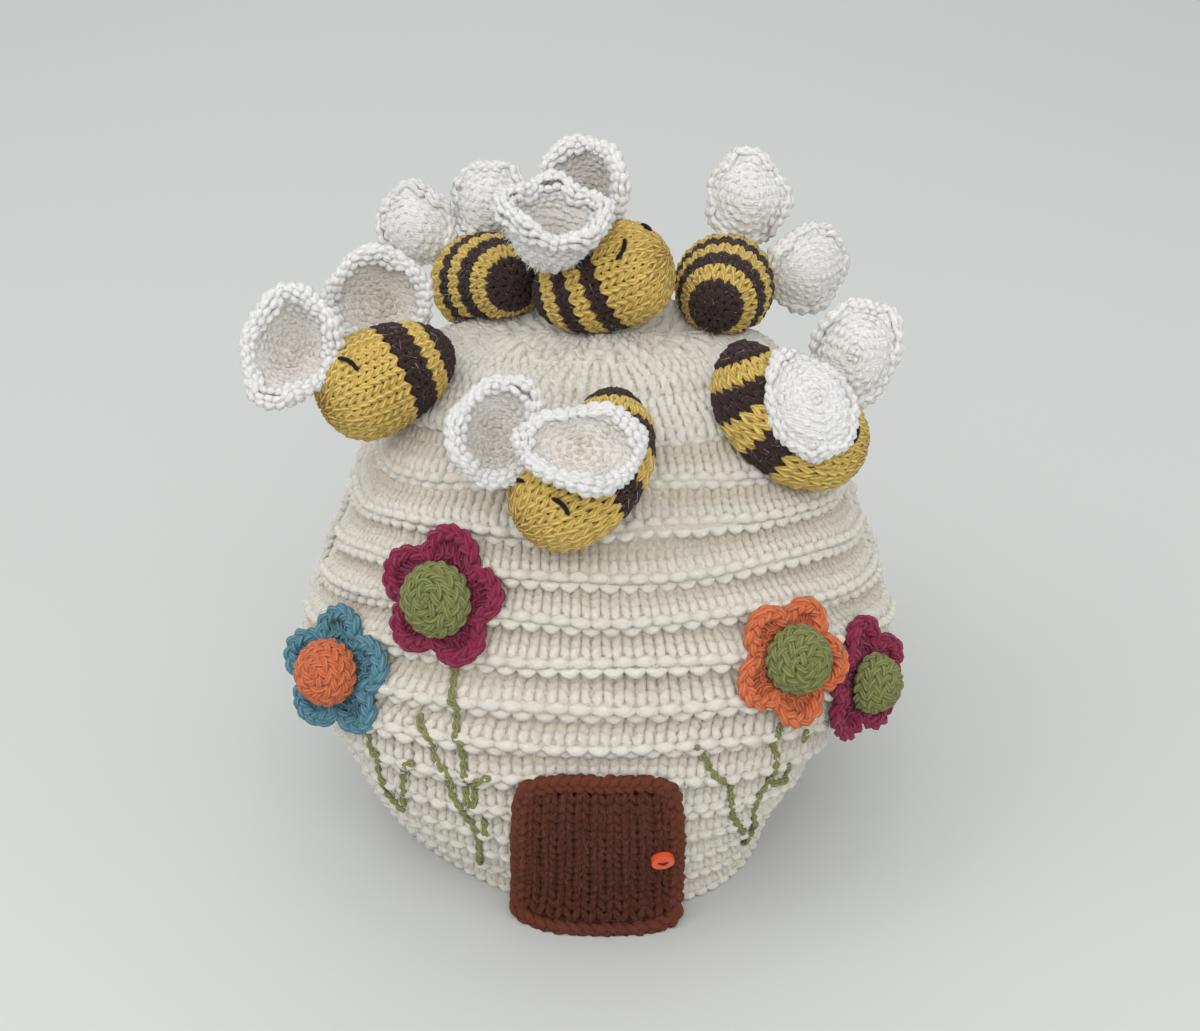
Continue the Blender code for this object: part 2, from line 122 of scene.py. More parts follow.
# colour is the lit yarn, and deep the painted shade of its hollows and the darker roots of its fibres
def yarnFinish(name, colour, deep, sheen=0.35, glow=0.0, pile=1.0, threads=3, twist=0.22, lustre=0.6,
               grain=1.0):
    material = bpy.data.materials.new(name)
    material.use_nodes = True
    nodes, links = material.node_tree.nodes, material.node_tree.links
    shader = nodes["Principled BSDF"]

    def add(kind, **settings):
        node = nodes.new(kind)
        for key, value in settings.items():
            setattr(node, key, value)
        return node

    def calc(operation, a, b):
        node = add("ShaderNodeMath", operation=operation)
        for socket, value in zip(node.inputs, (a, b)):
            if isinstance(value, (int, float)):
                socket.default_value = value
            else:
                links.new(value, socket)
        return node.outputs[0]

    uv = add("ShaderNodeUVMap", uv_map="UVMap")
    split = add("ShaderNodeSeparateXYZ")
    links.new(uv.outputs["UV"], split.inputs[0])
    along, around = split.outputs[0], split.outputs[1]
    # threads lie side by side round the yarn and turn slowly along it
    thread = calc("SINE", calc("MULTIPLY", calc("ADD", calc("MULTIPLY", along, twist),
                                                calc("MULTIPLY", around, float(threads))), 2 * math.pi), 0.0)
    fibres = add("ShaderNodeTexNoise")
    fibreWay = add("ShaderNodeCombineXYZ")
    links.new(calc("MULTIPLY", along, 0.30), fibreWay.inputs[0])
    links.new(calc("ADD", calc("MULTIPLY", around, 9.0), calc("MULTIPLY", along, twist * 9.0 / threads)),
              fibreWay.inputs[1])
    links.new(fibreWay.outputs[0], fibres.inputs["Vector"])
    fibres.inputs["Scale"].default_value = 1.9
    fibres.inputs["Detail"].default_value = 5.0
    fibres.inputs["Roughness"].default_value = 0.65
    place = add("ShaderNodeTexCoord")
    fuzz = add("ShaderNodeTexNoise")
    links.new(place.outputs["Object"], fuzz.inputs["Vector"])
    fuzz.inputs["Scale"].default_value = 1500.0
    fuzz.inputs["Detail"].default_value = 4.0
    fuzz.inputs["Roughness"].default_value = 0.7
    height = calc("ADD", calc("MULTIPLY", thread, 0.30 * lustre), calc(
        "ADD", calc("MULTIPLY", fibres.outputs["Fac"], 1.0 * grain),
        calc("MULTIPLY", fuzz.outputs["Fac"], 1.8 * pile)))
    bump = add("ShaderNodeBump")
    links.new(height, bump.inputs["Height"])
    bump.inputs["Strength"].default_value = 1.0
    bump.inputs["Distance"].default_value = 0.00042
    links.new(bump.outputs["Normal"], shader.inputs["Normal"])

    # painted shade: the shade attribute darkens the colour towards deep, and the threads are painted darker
    # in their grooves and lighter on their crests; the fibre, fuzz and broad noises give the yarn's own
    # uneven tone
    depth = add("ShaderNodeAttribute", attribute_name="shade")
    broad = add("ShaderNodeTexNoise")
    links.new(place.outputs["Object"], broad.inputs["Vector"])
    broad.inputs["Scale"].default_value = 55.0
    broad.inputs["Detail"].default_value = 2.0
    shadeAndFibreTone = calc("ADD", calc("MULTIPLY", depth.outputs["Fac"], 0.60), calc(
        "ADD", calc("MULTIPLY", calc("SUBTRACT", 0.55, fibres.outputs["Fac"]), 0.9 * grain),
        calc("ADD", calc("MULTIPLY", calc("SUBTRACT", 0.52, fuzz.outputs["Fac"]), 0.8 * pile),
             calc("ADD", calc("MULTIPLY", thread, -0.20 * lustre),
                  calc("MULTIPLY", calc("SUBTRACT", broad.outputs["Fac"], 0.5), 0.35)))))
    mix = add("ShaderNodeMix", data_type="RGBA", clamp_factor=True)
    links.new(shadeAndFibreTone, mix.inputs["Factor"])
    mix.inputs["A"].default_value = (*colour, 1)
    mix.inputs["B"].default_value = (*deep, 1)
    links.new(mix.outputs["Result"], shader.inputs["Base Color"])
    shader.inputs["Roughness"].default_value = 0.92
    shader.inputs["Specular IOR Level"].default_value = 0.18
    shader.inputs["Sheen Weight"].default_value = sheen
    shader.inputs["Sheen Roughness"].default_value = 0.45
    if glow:
        shader.inputs["Subsurface Weight"].default_value = glow
        shader.inputs["Subsurface Radius"].default_value = (1.0, 0.85, 0.7)
        shader.inputs["Subsurface Scale"].default_value = 0.0022
    return material


crochetCotton = {"sheen": 0.12, "pile": 0.2, "threads": 5, "twist": 0.2, "lustre": 2.2, "grain": 0.5}
finishes = {
    "cream": yarnFinish("cream yarn", (0.86, 0.82, 0.735), (0.62, 0.53, 0.40), sheen=0.40, glow=0.12,
                        lustre=0.4),
    "yellow": yarnFinish("bee yellow yarn", (0.84, 0.605, 0.16), (0.34, 0.175, 0.032), sheen=0.10, glow=0.06,
                         pile=0.5, threads=4, twist=0.2, lustre=2.2),
    "dark": yarnFinish("bee stripe yarn", (0.046, 0.023, 0.019), (0.014, 0.007, 0.006), sheen=0.10, pile=1.2),
    "white": yarnFinish("wing yarn", (0.96, 0.96, 0.955), (0.66, 0.585, 0.49), threads=4, twist=0.3,
                        lustre=0.5),
    "magenta": yarnFinish("magenta yarn", (0.325, 0.027, 0.082), (0.090, 0.006, 0.020), **crochetCotton),
    "blue": yarnFinish("blue yarn", (0.125, 0.300, 0.380), (0.035, 0.105, 0.145), **crochetCotton),
    "orange": yarnFinish("orange yarn", (0.76, 0.200, 0.080), (0.36, 0.065, 0.020), glow=0.05,
                         **crochetCotton),
    "green": yarnFinish("green yarn", (0.265, 0.285, 0.092), (0.075, 0.088, 0.022), **crochetCotton),
    "stem": yarnFinish("stem yarn", (0.37, 0.385, 0.145), (0.105, 0.120, 0.032), sheen=0.12, pile=0.3,
                       threads=4, twist=0.3, lustre=2.2, grain=0.6),
    "brown": yarnFinish("brown yarn", (0.185, 0.048, 0.024), (0.036, 0.009, 0.005), sheen=0.04, pile=1.6),
    "black": yarnFinish("eye thread", (0.012, 0.011, 0.012), (0.004, 0.004, 0.004), sheen=0.05, pile=0.4),
}
print("yarn finishes made")


# A row's line is bent into loops, and yarn is run along it.
def stitchTree():
    tree = bpy.data.node_groups.new("stitches along rows", "GeometryNodeTree")
    sockets = (("Rows", "Geometry"), ("Yarn Radius", "Float"), ("Sides", "Int"), ("Bulge", "Float"),
               ("Loop Height", "Float"), ("Unevenness", "Float"), ("Seed", "Float"), ("Yarn", "Material"))
    for name, kind in sockets:
        tree.interface.new_socket(name, in_out="INPUT", socket_type="NodeSocket" + kind)
    tree.interface.new_socket("Stitches", in_out="OUTPUT", socket_type="NodeSocketGeometry")

    def add(kind, inputs=(), **settings):
        node = tree.nodes.new(kind)
        for key, value in settings.items():
            setattr(node, key, value)
        for key, value in dict(inputs).items():
            if isinstance(value, bpy.types.NodeSocket):
                tree.links.new(value, node.inputs[key])
            else:
                node.inputs[key].default_value = value
        return node

    def calc(operation, a, b=0.0):
        return add("ShaderNodeMath", {0: a, 1: b}, operation=operation).outputs[0]

    def stored(name, kind="FLOAT"):
        return add("GeometryNodeInputNamedAttribute", {"Name": name}, data_type=kind).outputs[0]

    def along(vector, amount):
        return add("ShaderNodeVectorMath", {0: vector, "Scale": amount}, operation="SCALE").outputs[0]

    def together(a, b):
        return add("ShaderNodeVectorMath", {0: a, 1: b}, operation="ADD").outputs[0]

    # the yarn of a stitch goes out by head, leg and foot, sideways by the bulge, and up by the loop's height
    given = add("NodeGroupInput").outputs
    angle = calc("MULTIPLY", stored("stitch"), 2 * math.pi)
    once, twice = calc("COSINE", angle), calc("COSINE", calc("MULTIPLY", angle, 2.0))
    head, leg, foot = stored("head"), stored("leg"), stored("foot")
    ends = calc("MULTIPLY", calc("ADD", head, foot), 0.25)
    lift = calc("ADD", calc("ADD", ends, calc("MULTIPLY", leg, 0.5)),
                calc("ADD", calc("MULTIPLY", calc("MULTIPLY", calc("SUBTRACT", head, foot), 0.5), once),
                     calc("MULTIPLY", calc("SUBTRACT", ends, calc("MULTIPLY", leg, 0.5)), twice)))
    sideways = calc("MULTIPLY", calc("SINE", calc("MULTIPLY", angle, 2.0)), given["Bulge"])
    upwards = calc("MULTIPLY", once, given["Loop Height"])
    place = add("GeometryNodeInputPosition").outputs[0]
    noise = add("ShaderNodeTexNoise", {"Vector": place, "W": given["Seed"], "Scale": 160.0, "Detail": 1.0},
                noise_dimensions="4D")
    centred = add("ShaderNodeVectorMath", {0: noise.outputs["Color"], 1: (0.5, 0.5, 0.5)},
                  operation="SUBTRACT")
    offset = together(together(along(stored("across", "FLOAT_VECTOR"), sideways),
                               along(stored("rise", "FLOAT_VECTOR"), upwards)),
                      together(along(stored("out", "FLOAT_VECTOR"), calc("MULTIPLY", lift, 0.001)),
                               along(centred.outputs[0], given["Unevenness"])))
    bent = add("GeometryNodeSetPosition", {"Geometry": given["Rows"], "Offset": offset})
    curve = add("GeometryNodeMeshToCurve", {"Mesh": bent.outputs[0]})
    length = calc("MULTIPLY", add("GeometryNodeSplineParameter").outputs["Length"], 1000.0)
    curve = add("GeometryNodeStoreNamedAttribute", {"Geometry": curve.outputs[0], "Name": "yarnAlong",
                                                    "Value": length}, data_type="FLOAT", domain="POINT")
    whole = calc("MULTIPLY", add("GeometryNodeSplineLength").outputs["Length"], 1000.0)
    curve = add("GeometryNodeStoreNamedAttribute", {"Geometry": curve.outputs[0], "Name": "yarnLength",
                                                    "Value": whole}, data_type="FLOAT", domain="POINT")
    corners = calc("ADD", given["Sides"], 1.0)
    ring = add("GeometryNodeCurveArc", {"Resolution": corners, "Radius": given["Yarn Radius"],
                                        "Start Angle": 0.0, "Sweep Angle": 2 * math.pi}, mode="RADIUS")
    ring = add("GeometryNodeStoreNamedAttribute",
               {"Geometry": ring.outputs["Curve"], "Name": "yarnAround",
                "Value": add("GeometryNodeSplineParameter").outputs["Factor"]},
               data_type="FLOAT", domain="POINT")
    yarn = add("GeometryNodeCurveToMesh", {"Curve": curve.outputs[0], "Profile Curve": ring.outputs[0],
                                           "Scale": stored("thick")})
    # where a closed row meets its own start, the yarn's length runs on instead of falling back to nothing
    here = stored("yarnAlong")
    face = add("GeometryNodeFieldOnDomain", {"Value": here}, data_type="FLOAT", domain="FACE").outputs[0]
    wrapped = calc("GREATER_THAN", calc("SUBTRACT", face, here), 3.0)
    runsOn = calc("ADD", here, calc("MULTIPLY", wrapped, stored("yarnLength")))
    spread = add("ShaderNodeCombineXYZ", {"X": runsOn, "Y": stored("yarnAround")})
    uv = add("GeometryNodeStoreNamedAttribute", {"Geometry": yarn.outputs[0], "Name": "UVMap",
                                                 "Value": spread.outputs[0]},
             data_type="FLOAT2", domain="CORNER")
    closed = add("GeometryNodeMergeByDistance", {"Geometry": uv.outputs[0], "Distance": 1e-6})
    smooth = add("GeometryNodeSetShadeSmooth", {"Geometry": closed.outputs[0]})
    real = add("GeometryNodeRealizeInstances", {"Geometry": smooth.outputs[0]})
    final = add("GeometryNodeSetMaterial", {"Geometry": real.outputs[0], "Material": given["Yarn"]})
    add("NodeGroupOutput", {"Stitches": final.outputs[0]})
    return tree


stitches = stitchTree()
vectorNames = ("across", "rise", "out")
numberNames = ("stitch", "head", "leg", "foot", "thick", "shade")
storedNames = ("yarnAlong", "yarnAround", "yarnLength")


def restOnFloor(mesh):  # yarn that would dip under the floor is pressed flat on it
    places = np.empty(len(mesh.vertices) * 3)
    mesh.vertices.foreach_get("co", places)
    low = places[2::3] < 0.0004
    places[2::3][low] = 0.0002 + 0.1 * np.abs(places[2::3][low])
    mesh.vertices.foreach_set("co", places)


def throughTree(obj, tree, chosen, name):  # chosen holds the tree's inputs by their names
    mesh = obj.data
    modifier = obj.modifiers.new(tree.name, "NODES")
    modifier.node_group = tree
    for item in tree.interface.items_tree:
        if item.in_out == "INPUT" and item.name in chosen:
            modifier[item.identifier] = chosen[item.name]
    obj.update_tag()
    bpy.context.view_layer.update()
    done = bpy.data.meshes.new_from_object(obj.evaluated_get(bpy.context.evaluated_depsgraph_get()))
    obj.modifiers.clear()
    obj.data = done
    bpy.data.meshes.remove(mesh)
    done.name = name
    restOnFloor(done)
    return done


# Each row is a dictionary of arrays, with its places and ways in mm.
def knit(name, rows, finish, radius, sides=5, bulge=0.17, height=0.84, unevenness=0.6, seed=0.0):
    points = np.concatenate([row["place"] for row in rows])
    edges, start = [], 0
    for row in rows:
        count = len(row["place"])
        steps = np.arange(start, start + count - 1)
        edges.append(np.stack([steps, steps + 1], 1))
        if row.get("closed"):
            edges.append(np.array([[start + count - 1, start]]))
        start += count
    edges = np.concatenate(edges)
    mesh = bpy.data.meshes.new(name)
    mesh.vertices.add(len(points))
    mesh.edges.add(len(edges))
    mesh.vertices.foreach_set("co", ((points + shift) / 1000).ravel())
    mesh.edges.foreach_set("vertices", edges.ravel().astype(np.int32))
    for key in vectorNames:
        values = np.concatenate([row[key] for row in rows]) * (1.0 if key == "out" else 0.001)
        mesh.attributes.new(key, "FLOAT_VECTOR", "POINT").data.foreach_set("vector", values.ravel())
    for key in numberNames:
        values = np.concatenate([np.broadcast_to(row[key], len(row["place"])) for row in rows])
        mesh.attributes.new(key, "FLOAT", "POINT").data.foreach_set("value", values.astype(float))
    obj = bpy.data.objects.new(name, mesh)
    bpy.context.scene.collection.objects.link(obj)
    done = throughTree(obj, stitches, {
        "Yarn Radius": radius / 1000, "Sides": sides, "Bulge": bulge, "Loop Height": height,
        "Unevenness": unevenness / 1000, "Seed": float(seed), "Yarn": finishes[finish]}, name)
    for key in vectorNames + numberNames + storedNames:
        if key in done.attributes and key != "shade":  # the finish reads the shade
            done.attributes.remove(done.attributes[key])
    return obj


# Loose fibres are scattered over a skin, each a thin cone that leans its own way.
def pileTree():
    tree = bpy.data.node_groups.new("loose fibres on a skin", "GeometryNodeTree")
    sockets = (("Skin", "Geometry"), ("Fibres", "Float"), ("Length", "Float"), ("Width", "Float"),
               ("Lean", "Float"), ("Seed", "Int"), ("Fibre", "Material"))
    for name, kind in sockets:
        tree.interface.new_socket(name, in_out="INPUT", socket_type="NodeSocket" + kind)
    tree.interface.new_socket("Pile", in_out="OUTPUT", socket_type="NodeSocketGeometry")
    nodes, links = tree.nodes, tree.links
    given, result = nodes.new("NodeGroupInput"), nodes.new("NodeGroupOutput")
    scatter = nodes.new("GeometryNodeDistributePointsOnFaces")
    spread = nodes.new("FunctionNodeRandomValue")
    spread.data_type = "FLOAT_VECTOR"
    spread.inputs["Min"].default_value = (-1, -1, -1)
    size = nodes.new("FunctionNodeRandomValue")
    leaning, way = nodes.new("ShaderNodeVectorMath"), nodes.new("ShaderNodeVectorMath")
    leaning.operation, way.operation = "SCALE", "ADD"
    turn = nodes.new("FunctionNodeAlignRotationToVector")
    hair, place = nodes.new("GeometryNodeMeshCone"), nodes.new("GeometryNodeInstanceOnPoints")
    hair.fill_type = "NGON"
    hair.inputs["Vertices"].default_value = 3
    hair.inputs["Radius Top"].default_value = 0.0
    real, painted = nodes.new("GeometryNodeRealizeInstances"), nodes.new("GeometryNodeSetMaterial")
    size.inputs[2].default_value = 0.35
    size.inputs[3].default_value = 1.5
    for source, target in (
            (given.outputs["Skin"], scatter.inputs["Mesh"]),
            (given.outputs["Fibres"], scatter.inputs["Density"]),
            (given.outputs["Seed"], scatter.inputs["Seed"]),
            (given.outputs["Seed"], spread.inputs["Seed"]),
            (given.outputs["Seed"], size.inputs["Seed"]),
            (spread.outputs["Value"], leaning.inputs[0]),
            (given.outputs["Lean"], leaning.inputs["Scale"]),
            (leaning.outputs[0], way.inputs[0]),
            (scatter.outputs["Normal"], way.inputs[1]),
            (way.outputs[0], turn.inputs["Vector"]),
            (given.outputs["Width"], hair.inputs["Radius Bottom"]),
            (given.outputs["Length"], hair.inputs["Depth"]),
            (scatter.outputs["Points"], place.inputs["Points"]),
            (hair.outputs["Mesh"], place.inputs["Instance"]),
            (turn.outputs[0], place.inputs["Rotation"]),
            (size.outputs[1], place.inputs["Scale"]),
            (place.outputs[0], real.inputs[0]),
            (real.outputs[0], painted.inputs["Geometry"]),
            (given.outputs["Fibre"], painted.inputs["Material"]),
            (painted.outputs[0], result.inputs["Pile"])):
        links.new(source, target)
    return tree


pile = pileTree()


def fibreFinish(name, colour, tip):
    material = bpy.data.materials.new(name)
    material.use_nodes = True
    nodes, links = material.node_tree.nodes, material.node_tree.links
    shader = nodes["Principled BSDF"]
    place, cloud = nodes.new("ShaderNodeTexCoord"), nodes.new("ShaderNodeTexNoise")
    mix = nodes.new("ShaderNodeMix")
    mix.data_type = "RGBA"
    cloud.inputs["Scale"].default_value = 260.0
    mix.inputs["A"].default_value = (*colour, 1)
    mix.inputs["B"].default_value = (*tip, 1)
    links.new(place.outputs["Object"], cloud.inputs["Vector"])
    links.new(cloud.outputs["Fac"], mix.inputs["Factor"])
    links.new(mix.outputs["Result"], shader.inputs["Base Color"])
    shader.inputs["Roughness"].default_value = 1.0
    shader.inputs["Specular IOR Level"].default_value = 0.1
    return material


fibres = {
    "cream": fibreFinish("cream fibres", (0.86, 0.82, 0.74), (0.97, 0.96, 0.93)),
    "dark": fibreFinish("pale fibres on dark yarn", (0.20, 0.15, 0.14), (0.62, 0.57, 0.53)),
    "white": fibreFinish("white fibres", (0.92, 0.92, 0.92), (0.98, 0.98, 0.98)),
    "brown": fibreFinish("brown fibres", (0.16, 0.055, 0.035), (0.34, 0.16, 0.11)),
}


# density is in fibres a square millimetre, and the grids are in mm
def addPile(name, grids, finish, density, length, width, lean, seed):
    points, faces, start = [], [], 0
    for grid in grids:
        rows, columns = grid.shape[:2]
        points.append(grid.reshape(-1, 3))
        index = start + np.arange(rows * columns).reshape(rows, columns)
        corners = np.stack([index[:-1, :-1], index[:-1, 1:], index[1:, 1:], index[1:, :-1]], -1)
        faces += corners.reshape(-1, 4).tolist()
        start += rows * columns
    mesh = bpy.data.meshes.new(name)
    mesh.from_pydata(((np.concatenate(points) + shift) / 1000).tolist(), [], faces)
    obj = bpy.data.objects.new(name, mesh)
    bpy.context.scene.collection.objects.link(obj)
    throughTree(obj, pile, {"Fibres": density * 1e6, "Length": length / 1000, "Width": width / 1000,
                            "Lean": lean, "Seed": seed, "Fibre": fibres[finish]}, name)
    return obj


def unit(vectors):
    return vectors / np.maximum(np.linalg.norm(vectors, axis=-1, keepdims=True), 1e-9)


def bumpThickness(stitch, least=0.55):  # a bead for each stitch, and the least of its thickness between
    return least + (1 - least) * np.abs(np.cos(np.pi * stitch)) ** 0.8


# One row of stitches on surface(u, v), along v = level from u = low to high. spacing is the row's
# height in v, and flip is -1 where u and v run the other way round.
def rowOn(surface, level, spacing, count, lift=0.0, head=-1.0, leg=1.0, foot=-1.0, closed=False,
          samples=8, thick=1.0, shade=0.0, low=0.0, high=1.0, flip=1.0, reach=0.5, tall=1.0, wide=1.0,
          plump=0.0, phase=0.0, straighten=0.0):
    total = max(1, int(count)) * samples
    u = low + (high - low) * np.arange(total + (0 if closed else 1)) / total
    level = np.broadcast_to(level, u.shape)
    place = surface(u, level)
    step = spacing * reach
    rise = (surface(u, level + step) - surface(u, level - step)) / (2 * reach)
    if closed:
        across = (np.roll(place, -1, 0) - np.roll(place, 1, 0)) / 2 * samples
    else:
        across = np.gradient(place, axis=0) * samples
    if straighten:  # the columns run straight on instead of towards the pole
        rise = rise - across * (straighten * rise[:, 0] * across[:, 0]
                                / (across[:, 0] ** 2 + 0.3 * (across ** 2).sum(1)))[:, None]
    out = unit(np.cross(across, rise)) * flip
    stitch = np.arange(len(u)) / samples + phase
    thickness = thick * (1 - plump * np.cos(4 * np.pi * stitch) if wide else bumpThickness(stitch))
    if not closed:
        thickness[[0, -1]] = 0.0
    return {"place": place + out * lift, "across": across * wide, "rise": rise * tall, "out": out,
            "stitch": stitch, "head": head, "leg": leg, "foot": foot,
            "thick": thickness, "shade": shade, "closed": closed}


# A mesh of point grids, each (rows, columns, 3) in mm, joined where they touch. Each has its own
# shade, or the plain one of what lies under stitches.
def clothMesh(name, grids, finish, shades=()):
    points, faces, start = [], [], 0
    for grid, wrapped in grids:
        rows, columns = grid.shape[:2]
        points.append(grid.reshape(-1, 3))
        for r in range(rows - 1):
            for c in range(columns if wrapped else columns - 1):
                d = (c + 1) % columns
                faces.append((start + r * columns + c, start + r * columns + d,
                              start + (r + 1) * columns + d, start + (r + 1) * columns + c))
        start += rows * columns
    points = np.concatenate(points)
    mesh = bpy.data.meshes.new(name)
    mesh.from_pydata(((points + shift) / 1000).tolist(), [], faces)
    attribute = mesh.attributes.new("shade", "FLOAT", "POINT")
    dark = [np.full(grid.shape[0] * grid.shape[1], shade)
            for (grid, _), shade in zip(grids, list(shades) + [0.7] * len(grids))]
    attribute.data.foreach_set("value", np.concatenate(dark))
    shape = bmesh.new()
    shape.from_mesh(mesh)
    bmesh.ops.remove_doubles(shape, verts=shape.verts, dist=2e-5)
    bmesh.ops.recalc_face_normals(shape, faces=shape.faces)
    layer = shape.loops.layers.uv.new("UVMap")
    for face in shape.faces:
        for loop in face.loops:
            loop[layer].uv = (loop.vert.co.x * 300, loop.vert.co.z * 300)
    shape.to_mesh(mesh)
    shape.free()
    mesh.shade_smooth()
    mesh.materials.append(finishes[finish])
    obj = bpy.data.objects.new(name, mesh)
    bpy.context.scene.collection.objects.link(obj)
    return obj


def smoothLine(points, spacing):  # evenly spaced points along a rounded line
    points = np.array(points, float)
    if len(points) > 2:
        for _ in range(2):
            cut = np.empty((2 * len(points) - 2, 3))
            cut[0::2] = points[:-1] * 0.75 + points[1:] * 0.25
            cut[1::2] = points[:-1] * 0.25 + points[1:] * 0.75
            points = np.concatenate([points[:1], cut, points[-1:]])
    lengths = np.concatenate([[0], np.cumsum(np.linalg.norm(np.diff(points, axis=0), axis=1))])
    count = max(3, int(lengths[-1] / spacing) + 1)
    at = np.linspace(0, lengths[-1], count)
    return np.stack([np.interp(at, lengths, points[:, i]) for i in range(3)], 1)


def strand(points, outs, thick=1.0, shade=0.1, closed=False):  # a plain run of yarn: a row without loops
    thickness = np.broadcast_to(thick, len(points)).astype(float).copy()
    if not closed:
        thickness[[0, -1]] = 0.0
    still = np.zeros_like(points)
    return {"place": points, "across": still, "rise": still, "out": outs, "stitch": 0.0, "head": 0.0,
            "leg": 0.0, "foot": 0.0, "thick": thickness, "shade": shade, "closed": closed}


# Strands that cross over each other along a line: a crocheted chain or an embroidered one.
def plait(points, outs, width, depth, periods, closed=False, shade=0.1, thick=1.0, strands=3):
    points, outs = np.asarray(points, float), np.asarray(outs, float)
    if closed:
        tangent = unit(np.roll(points, -1, 0) - np.roll(points, 1, 0))
    else:
        tangent = unit(np.gradient(points, axis=0))
    side = unit(np.cross(outs, tangent))
    way = np.arange(len(points)) / (len(points) if closed else len(points) - 1) * periods * 2 * np.pi
    made = []
    for i in range(strands):
        turn = way + 2 * np.pi * i / strands
        place = points + side * (width * np.sin(turn))[:, None] + outs * (depth * np.sin(2 * turn))[:, None]
        made.append(strand(place, outs, thick, shade, closed))
    return made


hiveTable = np.array((
    # for each valley between ridges: its height at the front, left and right, how far it is out at the
    # front, back, left and right, and how far its left and right corners swell
    (0, 0, 0, 60, 58, 62, 46, -.080, .085), (9.5, 8, 4, 63, 62, 65, 47, -.030, .085),
    (20, 16, 9, 67.5, 66.5, 67, 48.5, .020, .090), (30.5, 24, 15, 71.5, 70.5, 68.7, 51, .060, .105),
    (41, 31.5, 23, 74.5, 74, 71, 56, .080, .105), (52, 39.5, 32.5, 76, 76, 75, 63.5, .090, .090),
    (63, 47.5, 42.5, 76.5, 76.5, 80.5, 72.5, .080, .080), (73.5, 56.5, 53, 75.5, 76, 83.5, 80, .060, .075),
    (84.5, 66.5, 65, 73, 74, 82.5, 81.5, .020, .055), (95.5, 77.5, 78.5, 69, 71, 78.5, 78, .010, .030),
    (105.5, 88, 92, 64.5, 67, 73.5, 73, .020, .025), (115, 100, 105, 58, 62, 68, 68, .050, .035),
    (124.5, 112.5, 116.5, 49.5, 55, 63, 63, .070, .050), (134, 127, 129, 39, 47.5, 57, 57, .045, .030),
    (142, 139.5, 139.5, 27, 37, 47.5, 47.5, 0, 0), (146.5, 145.5, 145.5, 13, 23, 30, 30, 0, 0),
    (147.5, 147.5, 147.5, -4.5, 4.5, 0, 0, 0, 0)), float)
slits = ((-1, 6.5, 11.5, 15.0, 21.0), (1, 7.0, 12.5, 13.0, 23.0))  # side, from, to, front gap, back gap
hive = {
    "stitchesRound": 86,  # at and below the shoulder
    "stitchWidth": 5.8,  # at which the yarn has its full thickness
    "yarnRadius": 1.50, "unevenness": 1.0,
    "loopDepth": 0.50,
    "crest": 1.45, "valley": -1.55,  # the middle of the yarn, out from the smooth skin
    "crestPlace": 0.20,
    "ridges": 15, "ridgesFade": 11.3, "plainFrom": 13.2, "top": 15.78,
    "row": 0.195, "crownRow": 0.21,  # a row's height, in valleys
    "crownStitch": 4.7,
    "band": (  # the rows of one band: place, way, shade, thickness
        (0.12, "bead", 0.0, 1.02), (0.265, "bar", 0.0, 1.14), (0.48, "plain", 0.15, 1.0),
        (0.695, "plain", 0.75, 1.0), (0.91, "valley", 1.05, 1.0)),
    "edgeYarn": 1.25, "edgeStep": 0.75, "edgeTurn": 9.5, "hem": 1.9,  # the hem's cord lies this high
    "fabricOut": 0.60, "fabricIn": -3.7,
    "pile": (0.21, 2.3, 0.06, 1.2),  # density, length, width, lean
    "cut": (0.50, 0.19),  # the flat fabric, in m
}


def hiveValues(k):  # the table's columns at a place k, counted in valleys from the hem
    k = np.clip(np.asarray(k, float), 0.0, 16.0)
    low = np.minimum(k.astype(int), 15)
    s = (k - low)[..., None]
    rows = [hiveTable[np.clip(low + i, 0, 16)] for i in (-1, 0, 1, 2)]
    leaving, arriving = (rows[2] - rows[0]) / 2, (rows[3] - rows[1]) / 2
    smooth = ((2 * s**3 - 3 * s**2 + 1) * rows[1] + (s**3 - 2 * s**2 + s) * leaving
              + (3 * s**2 - 2 * s**3) * rows[2] + (s**3 - s**2) * arriving)
    straight = rows[1] * (1 - s) + rows[2] * s
    return np.where((k > 14.9)[..., None], straight, smooth)


def hiveBase(k, turn):  # the smooth skin; turn is 0 at the front and runs to the right
    k, turn = np.broadcast_arrays(np.asarray(k, float), np.asarray(turn, float))
    v = hiveValues(k)
    across, ahead = np.sin(turn), np.cos(turn)
    right = across > 0
    swell = 1 + np.where(right, v[..., 8], v[..., 7]) * np.sin(2 * turn) ** 2
    side = across ** 4
    x = np.where(right, v[..., 6], v[..., 5]) * across * swell
    y = (v[..., 4] - v[..., 3]) / 2 - (v[..., 3] + v[..., 4]) / 2 * ahead * swell
    z = v[..., 0] * (1 - side) + np.where(right, v[..., 2], v[..., 1]) * side
    return np.stack([x, y, z], -1)


def hiveOut(k, turn):
    k = np.clip(np.asarray(k, float), 0.02, 15.6)
    up = hiveBase(k + 0.02, turn) - hiveBase(k - 0.02, turn)
    around = hiveBase(k, turn + 0.02) - hiveBase(k, turn - 0.02)
    out = np.cross(around, up)
    out[..., 2] *= np.minimum(1.0, k)
    return unit(out)


def ridgeProfile(k):  # how far out the fabric lies: it hangs over each valley and slopes back to the next
    share = k - np.floor(k)
    place = hive["crestPlace"]
    rising = np.clip(share / place, 0, 1)
    falling = np.clip((share - place) / (0.92 - place), 0, 1)
    height = np.where(share < place, rising * rising * (3 - 2 * rising),
                      0.5 + 0.5 * np.cos(np.pi * falling ** 0.9))
    fade = 1 - 0.65 * np.clip((k - hive["ridgesFade"]) / 1.2, 0, 1)
    fade = fade * np.clip((15.2 - k) / 0.8, 0, 1)
    return hive["valley"] * (1 - height * fade) + hive["crest"] * height * fade - 0.3 * (1 - fade)


